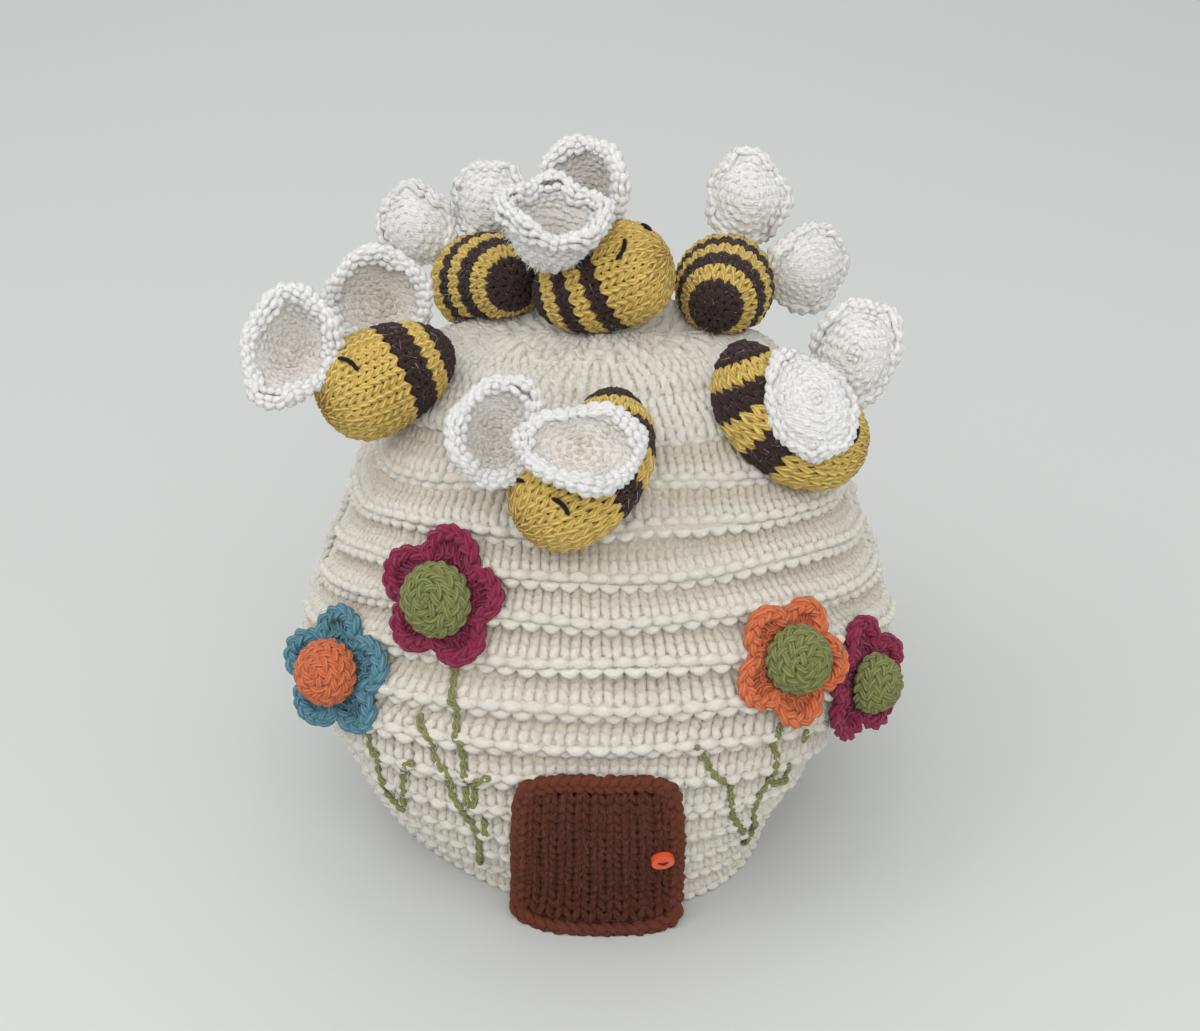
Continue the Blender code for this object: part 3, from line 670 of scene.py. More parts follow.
def slitTurn(side, end, k):
    turn = np.zeros_like(k)
    for s, low, high, front, back in slits:
        if s == side:
            share = np.clip((k - low) / (high - low), 0, 1)
            v = hiveValues(k)
            gap = (front if end < 0 else back) * np.sin(np.pi * share) ** 0.7
            turn = np.arcsin(np.clip(gap / ((v[..., 3] + v[..., 4]) / 2), -1, 1))
    return turn


def panelTurn(u, k, end):  # how far round the hive u lies across one panel; the front panel is end -1
    k = np.clip(np.broadcast_to(np.asarray(k, float), u.shape), 0, 16)
    left, right = slitTurn(-1, end, k), slitTurn(1, end, k)
    first, last = (left, right) if end < 0 else (right, left)
    # only the stitches near a slit are drawn in by it
    start = -np.pi / 2 if end < 0 else np.pi / 2
    return start + np.pi * u + first * (1 - u) ** 3 - last * u ** 3


def crownLumps(k, turn):  # soft dents of the loose fabric over the shoulder and the crown
    place = hiveBase(k, turn)
    x, y = place[..., 0], place[..., 1]
    lumps = np.sin(x / 6.1 + 0.7) * np.sin(y / 7.3 + 1.9) + 0.6 * np.sin(x / 3.7 - y / 5.2 + 0.4)
    return 0.75 * lumps * np.clip((k - 10.5) / 2.5, 0, 1)


def panelSurface(end):
    def surface(u, k):
        turn = panelTurn(u, k, end)
        # the rows wander a little, as hand knitting does
        wander = 0.035 * np.sin(3.1 * turn + 1.7 * k) + 0.03 * np.sin(7.3 * turn - 2.3 * k + 1.0)
        loose = 0.10 * np.sin(4.3 * turn + 1.1 * k + 0.6)
        loose = loose * np.clip((k - 10.5) / 2, 0, 1) * np.clip((15.6 - k) / 2, 0, 1)
        moved = np.clip(k + wander * np.clip(k, 0, 1) + loose, 0.0, 15.9)
        lift = ridgeProfile(np.asarray(moved)) + 0.25 * np.sin(5 * turn + 0.9 * k) * np.clip(k / 3, 0, 1)
        lift = lift + crownLumps(moved, turn)
        return hiveBase(moved, turn) + hiveOut(moved, turn) * lift[..., None]
    return surface


def hiveRows(end, low, high):
    surface = panelSurface(end)
    depth = hive["loopDepth"]
    ways = {
        "bead": dict(head=0.50, leg=0.0, foot=-0.60, tall=-0.06, wide=0.0, samples=6, lift=0.60),
        "bar": dict(head=0.45, leg=0.0, foot=-0.55, tall=0.06, wide=0.0, samples=6, phase=0.5, lift=0.40),
        "plain": dict(head=-depth, leg=depth, foot=-depth, plump=0.14, samples=7),
        "valley": dict(head=-depth, leg=depth, foot=-depth, plump=0.14, samples=6),
    }
    levels = [(band + place, hive["row"], way, shade, thick) for band in range(hive["ridges"])
              for place, way, shade, thick in hive["band"]]
    k = hive["ridges"] + 0.1
    while k < hive["top"]:
        levels.append((k, hive["crownRow"], "plain", 0.0, 1.0))
        k += hive["crownRow"]
    rows = []
    for level, spacing, way, shade, thick in levels:
        if not low <= level < high or level < 0.2:  # the hem's edge stands there
            continue
        if level > hive["plainFrom"]:
            way, shade, thick = "plain", 0.0, 1.04
        way = dict(ways[way])
        if level > 12 and "lift" in way:  # the last ridges sink into the crown
            way["lift"] = -0.1
        thick *= 1 - 0.12 * min(1, max(0, level - 13.5))
        line = surface(np.linspace(0, 1, 60), np.full(60, level))
        length = np.linalg.norm(np.diff(line, axis=0), axis=1).sum()
        count = hive["stitchesRound"] // 2
        if level >= 10:
            group = math.floor(level) + 0.5
            middle = hiveBase(np.full(60, group), panelTurn(np.linspace(0, 1, 60), np.full(60, group), end))
            size = np.linalg.norm(np.diff(middle, axis=0), axis=1).sum()
            count = min(count, max(4, round(size / hive["crownStitch"])))
        thick = thick * (length / count / hive["stitchWidth"]) ** 0.5
        rows.append(rowOn(surface, level, spacing, count, thick=thick, shade=shade,
                          straighten=0.85 * min(1.0, max(0.0, (level - 11) / 2)), **way))
    return rows


def makeHive():
    pieces = []
    for end, side in ((-1, "front"), (1, "back")):
        for low, high, part in ((0.0, 6.0, "lower"), (6.0, 17.0, "upper")):
            rows = hiveRows(end, low, high)
            pieces.append(knit("knit_%s_%s" % (side, part), rows, "cream", hive["yarnRadius"], bulge=0.18,
                               unevenness=hive["unevenness"], seed=3 + len(pieces)))
            print("hive", side, part, len(pieces[-1].data.polygons), "faces")
    return pieces


def makeEdges():  # a chain up both sides of each slit, and a cord round the hem
    rows = []
    for side, low, high, _, _ in slits:
        for end in (-1, 1):
            k = np.linspace(low - 0.1, high + 0.1, 90)
            u = np.full(90, 0.0 if (end < 0) == (side < 0) else 1.0)
            turn = panelTurn(u, k, end)
            line = smoothLine(hiveBase(k, turn) + hiveOut(k, turn) * 0.2, hive["edgeStep"])
            k = np.linspace(low, high, len(line))
            outs = hiveOut(k, panelTurn(np.full(len(line), u[0]), k, end))
            turns = max(1, round(len(line) * hive["edgeStep"] / hive["edgeTurn"]))
            rows += plait(line, outs, 1.0, 0.6, turns)
    ring = []
    for end in (-1, 1):
        u = np.linspace(0, 1, 160, endpoint=False)
        ring.append(panelSurface(end)(u, np.full(160, 0.10)))
    ring = np.concatenate(ring)
    ring[:, 2] = hive["hem"]
    outs = unit(ring * (1, 1, 0))
    rows += plait(ring + outs * 0.7, outs, 0.9, 0.7, 44, closed=True, strands=2)
    return knit("cover_edges", rows, "cream", hive["edgeYarn"], unevenness=hive["unevenness"], seed=9)


def makeFabric():  # what lies under the stitches, two-sided so that it has its thickness
    shares = np.array((0, 0.08, 0.14, 0.22, 0.40, 0.62, 0.82))
    levels = np.concatenate([(np.arange(15)[:, None] + shares).ravel(), [15.0, 15.2, 15.4, 15.65]])
    across = np.linspace(0, 1, 35)
    grids, shades = [], []
    for end in (-1, 1):
        skins = []
        for inner in (False, True):
            k = np.broadcast_to(levels[:, None], (len(levels), len(across)))
            u = np.broadcast_to(across, k.shape)
            turn = panelTurn(u, k, end)
            lift = ridgeProfile(k) + hive["fabricOut"] - 0.15 * np.clip((k - 12) / 1.5, 0, 1)
            if inner:
                lift = np.full(k.shape, hive["fabricIn"])
            skin = hiveBase(k, turn) + hiveOut(k, turn) * (lift + crownLumps(k, turn))[..., None]
            skin[..., 2] = np.maximum(skin[..., 2], 0.0)
            pole = np.array((0, crownPlace, 144.5 if inner else 146.3))
            pole = np.broadcast_to(pole, (1, len(across), 3))
            skin = np.concatenate([skin, pole])
            skins.append(skin)
            grids.append((skin, False))
            shades.append(0.0 if inner else 0.6)
        grids.append((np.stack([skins[0][0], skins[1][0]]), False))
        shades += [0.3] * 3
        for column, side in ((0, -1 if end < 0 else 1), (-1, 1 if end < 0 else -1)):
            low, high = [(s[1], s[2]) for s in slits if s[0] == side][0]
            parted = np.flatnonzero((levels >= low - 0.1) & (levels <= high + 0.1))
            edge = np.stack([skin[parted, column] for skin in skins])
            grids.append((edge, False))
    return clothMesh("cover_fabric", grids, "cream", shades)


def makeHivePile():
    grids = []
    for low in (0.12, 11.4):  # twice as many over the crown
        k, u = np.broadcast_arrays(np.arange(low, 15.7, 0.08)[:, None], np.linspace(0, 1, 70)[None, :])
        for end in (-1, 1):
            grids.append(panelSurface(end)(u, k) + hiveOut(k, panelTurn(u, k, end)))
    return addPile("cover_pile", grids, "cream", *hive["pile"], 5)


hivePieces = makeHive()
fabric = makeFabric()
hivePieces += [makeEdges(), makeHivePile()]
for piece in hivePieces + [fabric]:
    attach(piece, "root")
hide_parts("cosy_cover")
print("hive made")


# What is sewn on is set against smooth skins of the hive.
def skinTree(lift, followRidges=False):
    k = np.concatenate([np.arange(0, 15.6, 0.1), [15.65]])[:, None]
    turn = np.linspace(0, 2 * np.pi, 145)[None, :]
    k, turn = np.broadcast_arrays(k, turn)
    crest = 1.9 * np.clip((15.6 - k) / 1.4, 0, 1)
    out = (ridgeProfile(k) if followRidges else crest) + lift
    grid = hiveBase(k, turn) + hiveOut(k, turn) * out[..., None]
    rows, columns = k.shape
    points = [Vector(p) for p in grid.reshape(-1, 3)] + [Vector((0, crownPlace, 147.5 + lift))]
    faces = [(r * columns + c, r * columns + c + 1, (r + 1) * columns + c + 1, (r + 1) * columns + c)
             for r in range(rows - 1) for c in range(columns - 1)]
    last = (rows - 1) * columns
    faces += [(last + c, last + c + 1, len(points) - 1) for c in range(columns - 1)]
    return BVHTree.FromPolygons(points, faces)


def nodePoints(name):
    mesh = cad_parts[name].data
    return np.array([v.co for v in mesh.vertices]) * 1000 - shift


def nodeTree(name):
    polygons = [tuple(p.vertices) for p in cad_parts[name].data.polygons]
    return BVHTree.FromPolygons([Vector(p) for p in nodePoints(name)], polygons)


seat = skinTree(0.9)
stitchSkin = skinTree(1.35, True)
downwards = math.radians(90 - studio["tilt"])
forward = Vector((0, math.cos(downwards), -math.sin(downwards)))
rightward, upward = Vector((1, 0, 0)), Vector((0, math.sin(downwards), math.cos(downwards)))
eye = Vector(studio["camera"])


def seen(x, y, tree, lift=0.0):  # what the camera sees of a skin at a place in its picture, and its way out
    wide, high = studio["picture"]
    far = studio["lens"] / studio["sensor"] * wide
    ray = (forward * far + rightward * (x - wide / 2) - upward * (y - high / 2)).normalized()
    hit, normal, _, _ = tree.ray_cast(eye, ray)
    if hit is None:  # just past the edge of the skin
        hit, normal, _, _ = tree.find_nearest(eye + ray * 620)
    if normal.dot(ray) > 0:
        normal = -normal
    return np.array(hit + normal * lift), np.array(normal)


bees = {  # head, tail, bow of the middle
    "bee_left": ((-64, -24, 142), (-46.5, -14.5, 147.5), (0, 0, 0)),
    "bee_behind": ((-35, 38, 146.5), (-26, 17, 155.5), (0, 0, .5)),
    "bee_top": ((8.8, 5, 164.4), (-10.5, 8, 156.2), (0, 0, -.5)),
    "bee_right_back": ((35.5, 34, 148.5), (32.5, 9, 153.5), (.5, 0, .5)),
    "bee_right": ((57.5, -33, 132.5), (38.6, -27.3, 148), (-2.5, -1.5, -2)),
    "bee_front": ((-10.3, -61, 129.8), (3.1, -44.6, 143), (3, -1, -.5)),
}
beeEyes = {  # each eye's two ends in the camera's picture
    "bee_left": (((338, 359), (357, 371)), ((323, 371), (320, 384))),
    "bee_top": (((641, 225), (650, 232)), ((624, 239), (616, 259))),
    "bee_right": (((857, 424), (847, 446)),),
    "bee_front": (((511, 487), (523, 482)), ((552, 499), (568, 515))),
}
beeShape = np.array((  # the distance along a bee from the nose, and its radius there
    (0, 0), (0.5, 3.6), (1.5, 6.2), (5, 10.2), (10, 12.6), (16, 13.4), (24, 13.0), (32, 11.9),
    (40, 9.6), (45.5, 6.3), (48, 3.3), (49.2, 1.4), (49.5, 0)))
beeKnit = {
    "columns": 20, "rows": 20, "yarnRadius": 0.98, "depth": 0.62, "unevenness": 0.5,
    "bulge": 0.30, "loopHeight": 0.72,
    "leastStitch": 2.7, "stitchWidth": 3.9,  # rows have fewer stitches, then thinner yarn, at the ends
    "stripes": (9, 11, 13, 15, 17),  # the rows at which yellow and dark change over
    "ownStripes": {"bee_left": (11, 14, 16)},
    "noseShade": (1.0, 0.7, 0.45, 0.2),  # of the first rows
    "fill": 0.85, "pile": (0.6, 2.3, 0.055, 1.3), "eyeThread": 0.62,
}
beeLength = beeShape[-1, 0]
beeHead, beeSpine = 13.0, 26.5  # from the nose to the head's middle, and from there to the tail's


def beeRadius(distance):
    d = np.linspace(0, beeLength, 400)
    r = np.interp(d, beeShape[:, 0], beeShape[:, 1])
    padded = np.pad(r, 12, mode="reflect", reflect_type="odd")
    soft = np.convolve(padded, np.hanning(27)[1:-1] / 13.0, "valid")
    return np.interp(distance, d, np.maximum(np.minimum(soft[:400], r + 0.5), 0))


def beeSurface(name, lift=0.0):
    head, tail, bow = (np.array(p, float) for p in bees[name])
    length = np.linalg.norm(tail - head)

    def spine(s):
        return head + (tail - head) * s[..., None] + bow * (4 * s * (1 - s))[..., None]

    def surface(u, v):
        share = (np.asarray(v, float) - beeHead) / beeSpine
        inside = np.clip(share, 0, 1)
        along = unit(spine(inside + 0.02) - spine(inside - 0.02))
        side = unit(np.cross(along, (0, 0, 1.0)))
        over = np.cross(side, along)
        angle = 2 * np.pi * np.asarray(u)
        way = side * np.cos(angle)[..., None] + over * np.sin(angle)[..., None]
        place = spine(inside) + along * ((share - inside) * length)[..., None]
        place = place + way * (beeRadius(np.clip(v, 0, beeLength)) + lift)[..., None]
        flat = place.reshape(-1, 3)  # what would be inside the hive is pressed flat on it
        for i, point in enumerate(flat):
            near, out, _, _ = seat.find_nearest(Vector(point))
            if (Vector(point) - near).dot(out) < 0:
                flat[i] = near
        return flat.reshape(place.shape)
    return surface


def outwardFlip(surface, v):  # -1 where u and v run the other way round
    u = np.linspace(0, 1, 12, endpoint=False)
    here = surface(u, np.full(12, v))
    up = surface(u, np.full(12, v + 0.5)) - surface(u, np.full(12, v - 0.5))
    around = np.roll(here, -1, 0) - np.roll(here, 1, 0)
    return 1.0 if (np.cross(around, up) * (here - here.mean(0))).sum() > 0 else -1.0


def skinOf(surface):
    u, v = np.broadcast_arrays(np.linspace(0, 1, 41), np.linspace(0.05, beeLength - 0.05, 40)[:, None])
    faces = [(r * 41 + c, r * 41 + c + 1, (r + 1) * 41 + c + 1, (r + 1) * 41 + c)
             for r in range(39) for c in range(40)]
    return BVHTree.FromPolygons([Vector(p) for p in surface(u, v).reshape(-1, 3)], faces)


def eyeStitches(name):  # one bowed stitch for each eye
    tree = skinOf(beeSurface(name, 1.15))
    eyes = []
    for ends in beeEyes.get(name, ()):
        (a, outA), (b, outB) = seen(*ends[0], tree), seen(*ends[1], tree)
        t = np.linspace(0, 1, 11)[:, None]
        out = unit(outA + outB)
        bow = unit(np.cross(out, b - a)) * (0.16 * np.linalg.norm(b - a) * np.sin(np.pi * t))
        line = a + (b - a) * (1.16 * t - 0.08) + bow + out * (0.85 * np.sin(np.pi * t) ** 0.35 - 0.35)
        thick = 0.75 + 0.25 * np.sin(np.pi * t[:, 0])
        eyes.append(strand(line, np.broadcast_to(out, line.shape), thick))
    return eyes


def makeBee(name, seed):
    skin = beeSurface(name)
    arc = np.linspace(0.0, beeLength, 300)
    steps = np.hypot(np.diff(arc), np.diff(beeRadius(arc)))
    travelled = np.concatenate([[0], np.cumsum(steps)])
    rows = beeKnit["rows"]
    levels = np.interp((np.arange(rows) + 0.6) / (rows + 0.2) * travelled[-1], travelled, arc)
    flip = outwardFlip(skin, 20.0)
    depth = beeKnit["depth"]
    stripes = beeKnit["ownStripes"].get(name, beeKnit["stripes"])
    nose = beeKnit["noseShade"]
    coloured = {"yellow": [], "dark": []}
    for i, level in enumerate(levels):
        finish = "dark" if sum(i >= s for s in stripes) % 2 else "yellow"
        radius = float(beeRadius(level))
        count = int(min(beeKnit["columns"], max(6, round(2 * np.pi * radius / beeKnit["leastStitch"]))))
        spacing = (levels[min(i + 1, rows - 1)] - levels[max(i - 1, 0)]) / 2
        wide = 2 * np.pi * radius / count
        coloured[finish].append(rowOn(
            skin, level, max(spacing, 0.6), count, lift=-0.45, head=-depth, leg=depth, foot=-depth,
            plump=0.16, samples=7, closed=True, thick=min(1.0, (wide / beeKnit["stitchWidth"]) ** 0.5),
            flip=flip, shade=nose[i] if i < len(nose) else 0.0, reach=0.3))
    pieces = [knit(name + "_stitches_" + finish, made, finish, beeKnit["yarnRadius"], bulge=beeKnit["bulge"],
                   height=beeKnit["loopHeight"], unevenness=beeKnit["unevenness"], seed=seed)
              for finish, made in coloured.items()]
    inner = beeSurface(name, -1.30)
    edges = [(levels[s] + levels[s - 1]) / 2 for s in stripes]
    v = np.unique(np.concatenate([np.linspace(0, beeLength, 26), edges]))
    u = np.arange(28) / 28
    grid = inner(np.broadcast_to(u, (len(v), 28)), np.broadcast_to(v[:, None], (len(v), 28)))
    body = clothMesh(name + "_body", [(grid, True)], "yellow")
    body.data.materials.append(finishes["dark"])
    head, tail = np.array(bees[name][0], float), np.array(bees[name][1], float)
    along = unit(tail - head)
    for face in body.data.polygons:
        middle = np.array(face.center) * 1000 - shift
        way = beeHead + ((middle - head) @ along) / np.linalg.norm(tail - head) * beeSpine
        face.material_index = sum(way >= e for e in edges) % 2
    eyes = eyeStitches(name)
    if eyes:
        pieces.append(knit(name + "_eyes", eyes, "black", beeKnit["eyeThread"], sides=8, unevenness=0.0))
    u, v = np.broadcast_arrays(np.linspace(0, 1, 29), np.linspace(edges[0], beeLength - 0.1, 24)[:, None])
    pieces.append(addPile(name + "_pile", [beeSurface(name, 0.75)(u, v)], "dark", *beeKnit["pile"], seed))
    for piece in pieces + [body]:
        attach(piece, "root")
    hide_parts(name)


for number, name in enumerate(bees):
    makeBee(name, 20 + number)
print("bees made")


wings = {  # middle, way it grows, way its hollow faces, length, width, cup
    "bee_left_wing_a": ((-59.5, -8, 157), (-.1, .3, .95), (0, -.95, .2), 24, 26, 7),
    "bee_left_wing_b": ((-83, -24, 155.7), (-.9, .1, .3), (.35, -.85, .3), 22, 28, 8),
    "bee_behind_wing_a": ((-46.5, 38, 159), (-.75, .3, .6), (-.3, .8, .4), 22, 20, 6),
    "bee_behind_wing_b": ((-31.8, 40, 165.5), (.1, .3, .95), (.2, .9, 0), 20, 19, 6),
    "bee_top_wing_a": ((-13.5, 0, 178), (-.98, -.1, .1), (.15, -.1, 1), 28, 28, 16),
    "bee_top_wing_b": ((-2.4, 20, 182.5), (-.3, .4, .85), (-.4, -.8, .4), 24, 22, 7),
    "bee_right_back_wing_a": ((41.4, 38, 168.8), (.1, .35, .93), (0, .9, -.3), 23, 20, 6),
    "bee_right_back_wing_b": ((60.5, 36, 151.5), (.9, .3, .1), (.2, .9, 0), 22, 22, 6),
    "bee_right_wing_a": ((54, -42, 147.5), (-.8, -.4, -.3), (-.2, .7, -.7), 19, 27, 5),
    "bee_right_wing_b": ((71, -18, 160), (.3, .3, .9), (.2, .9, -.2), 27, 19, 6),
    "bee_front_wing_a": ((-4.9, -66, 145.7), (.98, .1, -.1), (0, -.6, .8), 29, 21, 3.5),
    "bee_front_wing_b": ((-27.2, -56, 146), (-.85, 0, .35), (.1, -.75, .6), 22, 25, 7),
}
wingKnit = {
    "ring": 2.15, "bump": 2.6,  # from ring to ring, and from bump to bump along one
    "yarnRadius": 0.95, "unevenness": 1.9, "halfThickness": 0.9,
    "rim": 1.5, "rimPlace": 0.95,  # radius of the rolled rim, and the share of the way out where it lies
    "rimRows": (-84, -42, 0.1, 42, 84),  # degrees round the roll
    "core": 1.75,  # thickness of the strand inside the roll
    "ease": 1.05,  # flat length and width against those of the cup
    "pile": (0.7, 1.8, 0.055, 1.4),
}


def wingFrame(name):
    middle, lead, face, length, width, cup = wings[name]
    lead = unit(np.array(lead, float))
    face = np.array(face, float)
    face = unit(face - lead * (face @ lead))
    side = np.cross(face, lead)
    middle = np.array(middle, float)
    own = float(sum(middle))  # gives each wing a crumple of its own

    def place(x, y, lift, crumple=0.0):
        around, far = np.arctan2(y, x), np.hypot(x, y)
        narrow = 1 - 0.22 * np.maximum(0, -x) ** 2
        height = -cup * (1 - x * x - y * y) + cup * 0.5 + lift
        waves = (1.2 * np.sin(2 * around + own) + 0.8 * np.sin(3 * around + 2.1 * own)
                 + 0.35 * np.sin(7 * around + own))
        height = height + crumple * far ** 3 * waves
        swell = 1 + crumple * far * far * 0.03 * (np.sin(3 * around + own) + np.sin(5 * around + 1.7 * own))
        x, y = x * swell, y * swell
        return (middle + lead * (length / 2 * x)[..., None] + side * (width / 2 * y * narrow)[..., None]
                + face * np.asarray(height)[..., None])
    # the CAD's wing was brought up to its bee: the same shift puts this one there
    a = np.linspace(0, 2 * np.pi, 49)[None, :]
    r = np.linspace(0, 1, 12)[:, None]
    x, y = r * np.cos(a), r * np.sin(a)
    z = 1.3 * np.sqrt(np.sqrt(np.clip(1 - r * r, 0, 1))) + 0 * a
    shape = np.concatenate([place(x, y, z).reshape(-1, 3), place(x, y, -z).reshape(-1, 3)])
    solid = nodePoints(name)
    moved = (solid.min(0) + solid.max(0)) / 2 - (shape.min(0) + shape.max(0)) / 2

    def finished(x, y, lift=0.0):
        x, y = np.asarray(x, float), np.asarray(y, float)
        lengthways = place(x + 0.02, y, 0.0 * x, 1.0) - place(x - 0.02, y, 0.0 * x, 1.0)
        sideways = place(x, y + 0.02, 0.0 * x, 1.0) - place(x, y - 0.02, 0.0 * x, 1.0)
        out = unit(np.cross(lengthways, sideways))
        out = out * np.sign(out @ face)[..., None]
        return place(x, y, 0.0 * x, 1.0) + out * (lift + 0 * x)[..., None] + moved
    return finished, face


def makeWing(name, seed):
    place, face = wingFrame(name)
    length, width = wings[name][3], wings[name][4]
    half = wingKnit["halfThickness"]
    size = (length + width) / 4
    shares, around = np.linspace(0, 0.94, 40)[:, None], np.linspace(0, 2 * np.pi, 9)[None, :-1]
    shares, around = np.broadcast_arrays(shares, around)
    spokes = place(shares * np.cos(around), shares * np.sin(around))
    travelled = np.concatenate([[0], np.cumsum(np.linalg.norm(np.diff(spokes, axis=0), axis=-1).mean(1))])
    count = round(travelled[-1] / wingKnit["ring"])
    rings = []  # share of the way out, lift off the middle, the way its bumps face
    for far in np.interp((np.arange(count) + 0.5) / count * travelled[-1], travelled, shares[:, 0]):
        rings += [(far, half * 0.75, 1), (far, -half * 0.75, -1)]
    for angle in wingKnit["rimRows"]:
        far = wingKnit["rimPlace"] + wingKnit["rim"] / size * math.cos(math.radians(angle))
        rings.append((far, 0, angle))
    rows = []
    for number, (far, lift, way) in enumerate(rings):
        count = max(4, round(2 * math.pi * far * size / wingKnit["bump"]))
        a = (np.arange(count * 4) / (count * 4)) * 2 * np.pi
        stitch = np.arange(count * 4) / 4 + 0.5 * (number % 2)
        wobble = far * (1 + 0.02 * np.sin(4 * a + number))
        thick = bumpThickness(stitch, 0.6)
        onRim = abs(way) != 1
        if onRim:  # the rim's roll is thicker in some places, and its rows wander over it
            roll = wingKnit["rim"] * (1 + 0.22 * np.sin(3 * a + seed) + 0.13 * np.sin(7 * a + 2 * seed))
            turn = math.radians(way) + 0.28 * np.sin(5 * a + seed) + 0.22 * np.sin(11 * a + 3 * seed)
            wobble, lift = wingKnit["rimPlace"] + roll / size * np.cos(turn), roll * np.sin(turn)
            thick = 1.28 * bumpThickness(stitch, 0.7)
        middle = place(wobble * np.cos(a), wobble * np.sin(a), lift)
        outs = unit(place(wobble * np.cos(a), wobble * np.sin(a), lift + 1.0) - middle)
        if onRim:
            outwards = unit(middle - place(wobble * np.cos(a) * 0.9, wobble * np.sin(a) * 0.9, lift))
            outs = unit(outs * np.sin(turn)[:, None] + outwards * np.cos(turn)[:, None])
        else:
            outs = outs * way
        hollow = 1.2 * (1 - far ** 3) if way == 1 else 0.1  # the hollow's inner face has painted shade, greyer towards its middle
        bumps = strand(middle, outs, closed=True, shade=hollow, thick=thick)
        bumps.update(stitch=stitch, head=0.40, foot=-0.25)
        rows.append(bumps)
    a = np.arange(40) / 40 * 2 * np.pi
    core = place(0.955 * np.cos(a), 0.955 * np.sin(a))
    rows.append(strand(core, np.broadcast_to(face, core.shape), closed=True, shade=0.0,
                       thick=wingKnit["core"]))
    stitched = knit(name + "_stitches", rows, "white", wingKnit["yarnRadius"], sides=4,
                    unevenness=wingKnit["unevenness"], seed=seed)
    r, a = np.broadcast_arrays(np.linspace(0.05, 1.0, 8)[:, None], np.linspace(0, 2 * np.pi, 33)[None, :])
    sides = [place(r * np.cos(a), r * np.sin(a), side * (half + 0.4)) for side in (1, -1)]
    fluff = addPile(name + "_pile", sides, "white", *wingKnit["pile"], seed)
    r, a = np.broadcast_arrays(np.linspace(0.0, 1.0, 9)[:, None], (np.arange(26) / 26 * 2 * np.pi)[None, :])
    thin = (half + 0.25) * np.sqrt(np.clip(1.03 - r ** 6, 0, 1))
    top = place(r * np.cos(a), r * np.sin(a), thin)
    bottom = place(r * np.cos(a), r * np.sin(a), -thin)
    rim = np.stack([top[-1], bottom[-1]])
    # the cloth on the hollow's side has painted shade
    cloth = clothMesh(name + "_cloth", [(top, True), (bottom, True), (rim, True)], "white", (0.7, 0.2, 0.0))
    for piece in (stitched, fluff, cloth):
        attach(piece, "root")
    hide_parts(name)
    "_".join(name.split("_")[:-2]) + "_body"


for number, name in enumerate(wings):
    makeWing(name, 40 + number)
print("wings made")


flowers = {  # valley, turn, reach, spin, share turned to the front, centre width and height, both yarns
    "flower_blue": (7.3, -51, 18.2, 26, .55, 17, 8, "blue", "orange"),
    "flower_magenta": (9.5, -30.5, 19, 18, .1, 19, 6.5, "magenta", "green"),
    "flower_purple": (7.3, 52, 17.5, 8, .2, 15.5, 7.5, "magenta", "green"),
    "flower_orange": (8.1, 34.5, 17.4, 54, .2, 17.5, 8, "orange", "green"),
}
frontUp = np.array((0, -0.875, 0.485))
flowerKnit = {
    "off": 2.2,  # from the hive's smooth skin
    "lobeDepth": 0.46, "lobeRound": 0.65,
    "rounds": ((0.46, 20, 0.95, 0.8), (0.66, 26, 1.0, 0.55)),  # place, stitches, thickness, shade
    "edge": 0.87, "edgeChain": (1.30, 0.85, 11),  # share of the reach, then width, depth and turns
    "yarnRadius": 1.06,
    "cloth": (-2.1, -3.3),  # its two skins, from the solid's
    "centreRounds": ((80, 5, 1.0), (52, 4, 1.05), (26, 2, 1.0), (6, 1, 0.8)),  # degrees, turns, thickness
    "centreDepth": 0.62, "centreYarn": 1.04, "fill": 0.8,
    "clothShare": 0.55,  # of the square round the petals
}


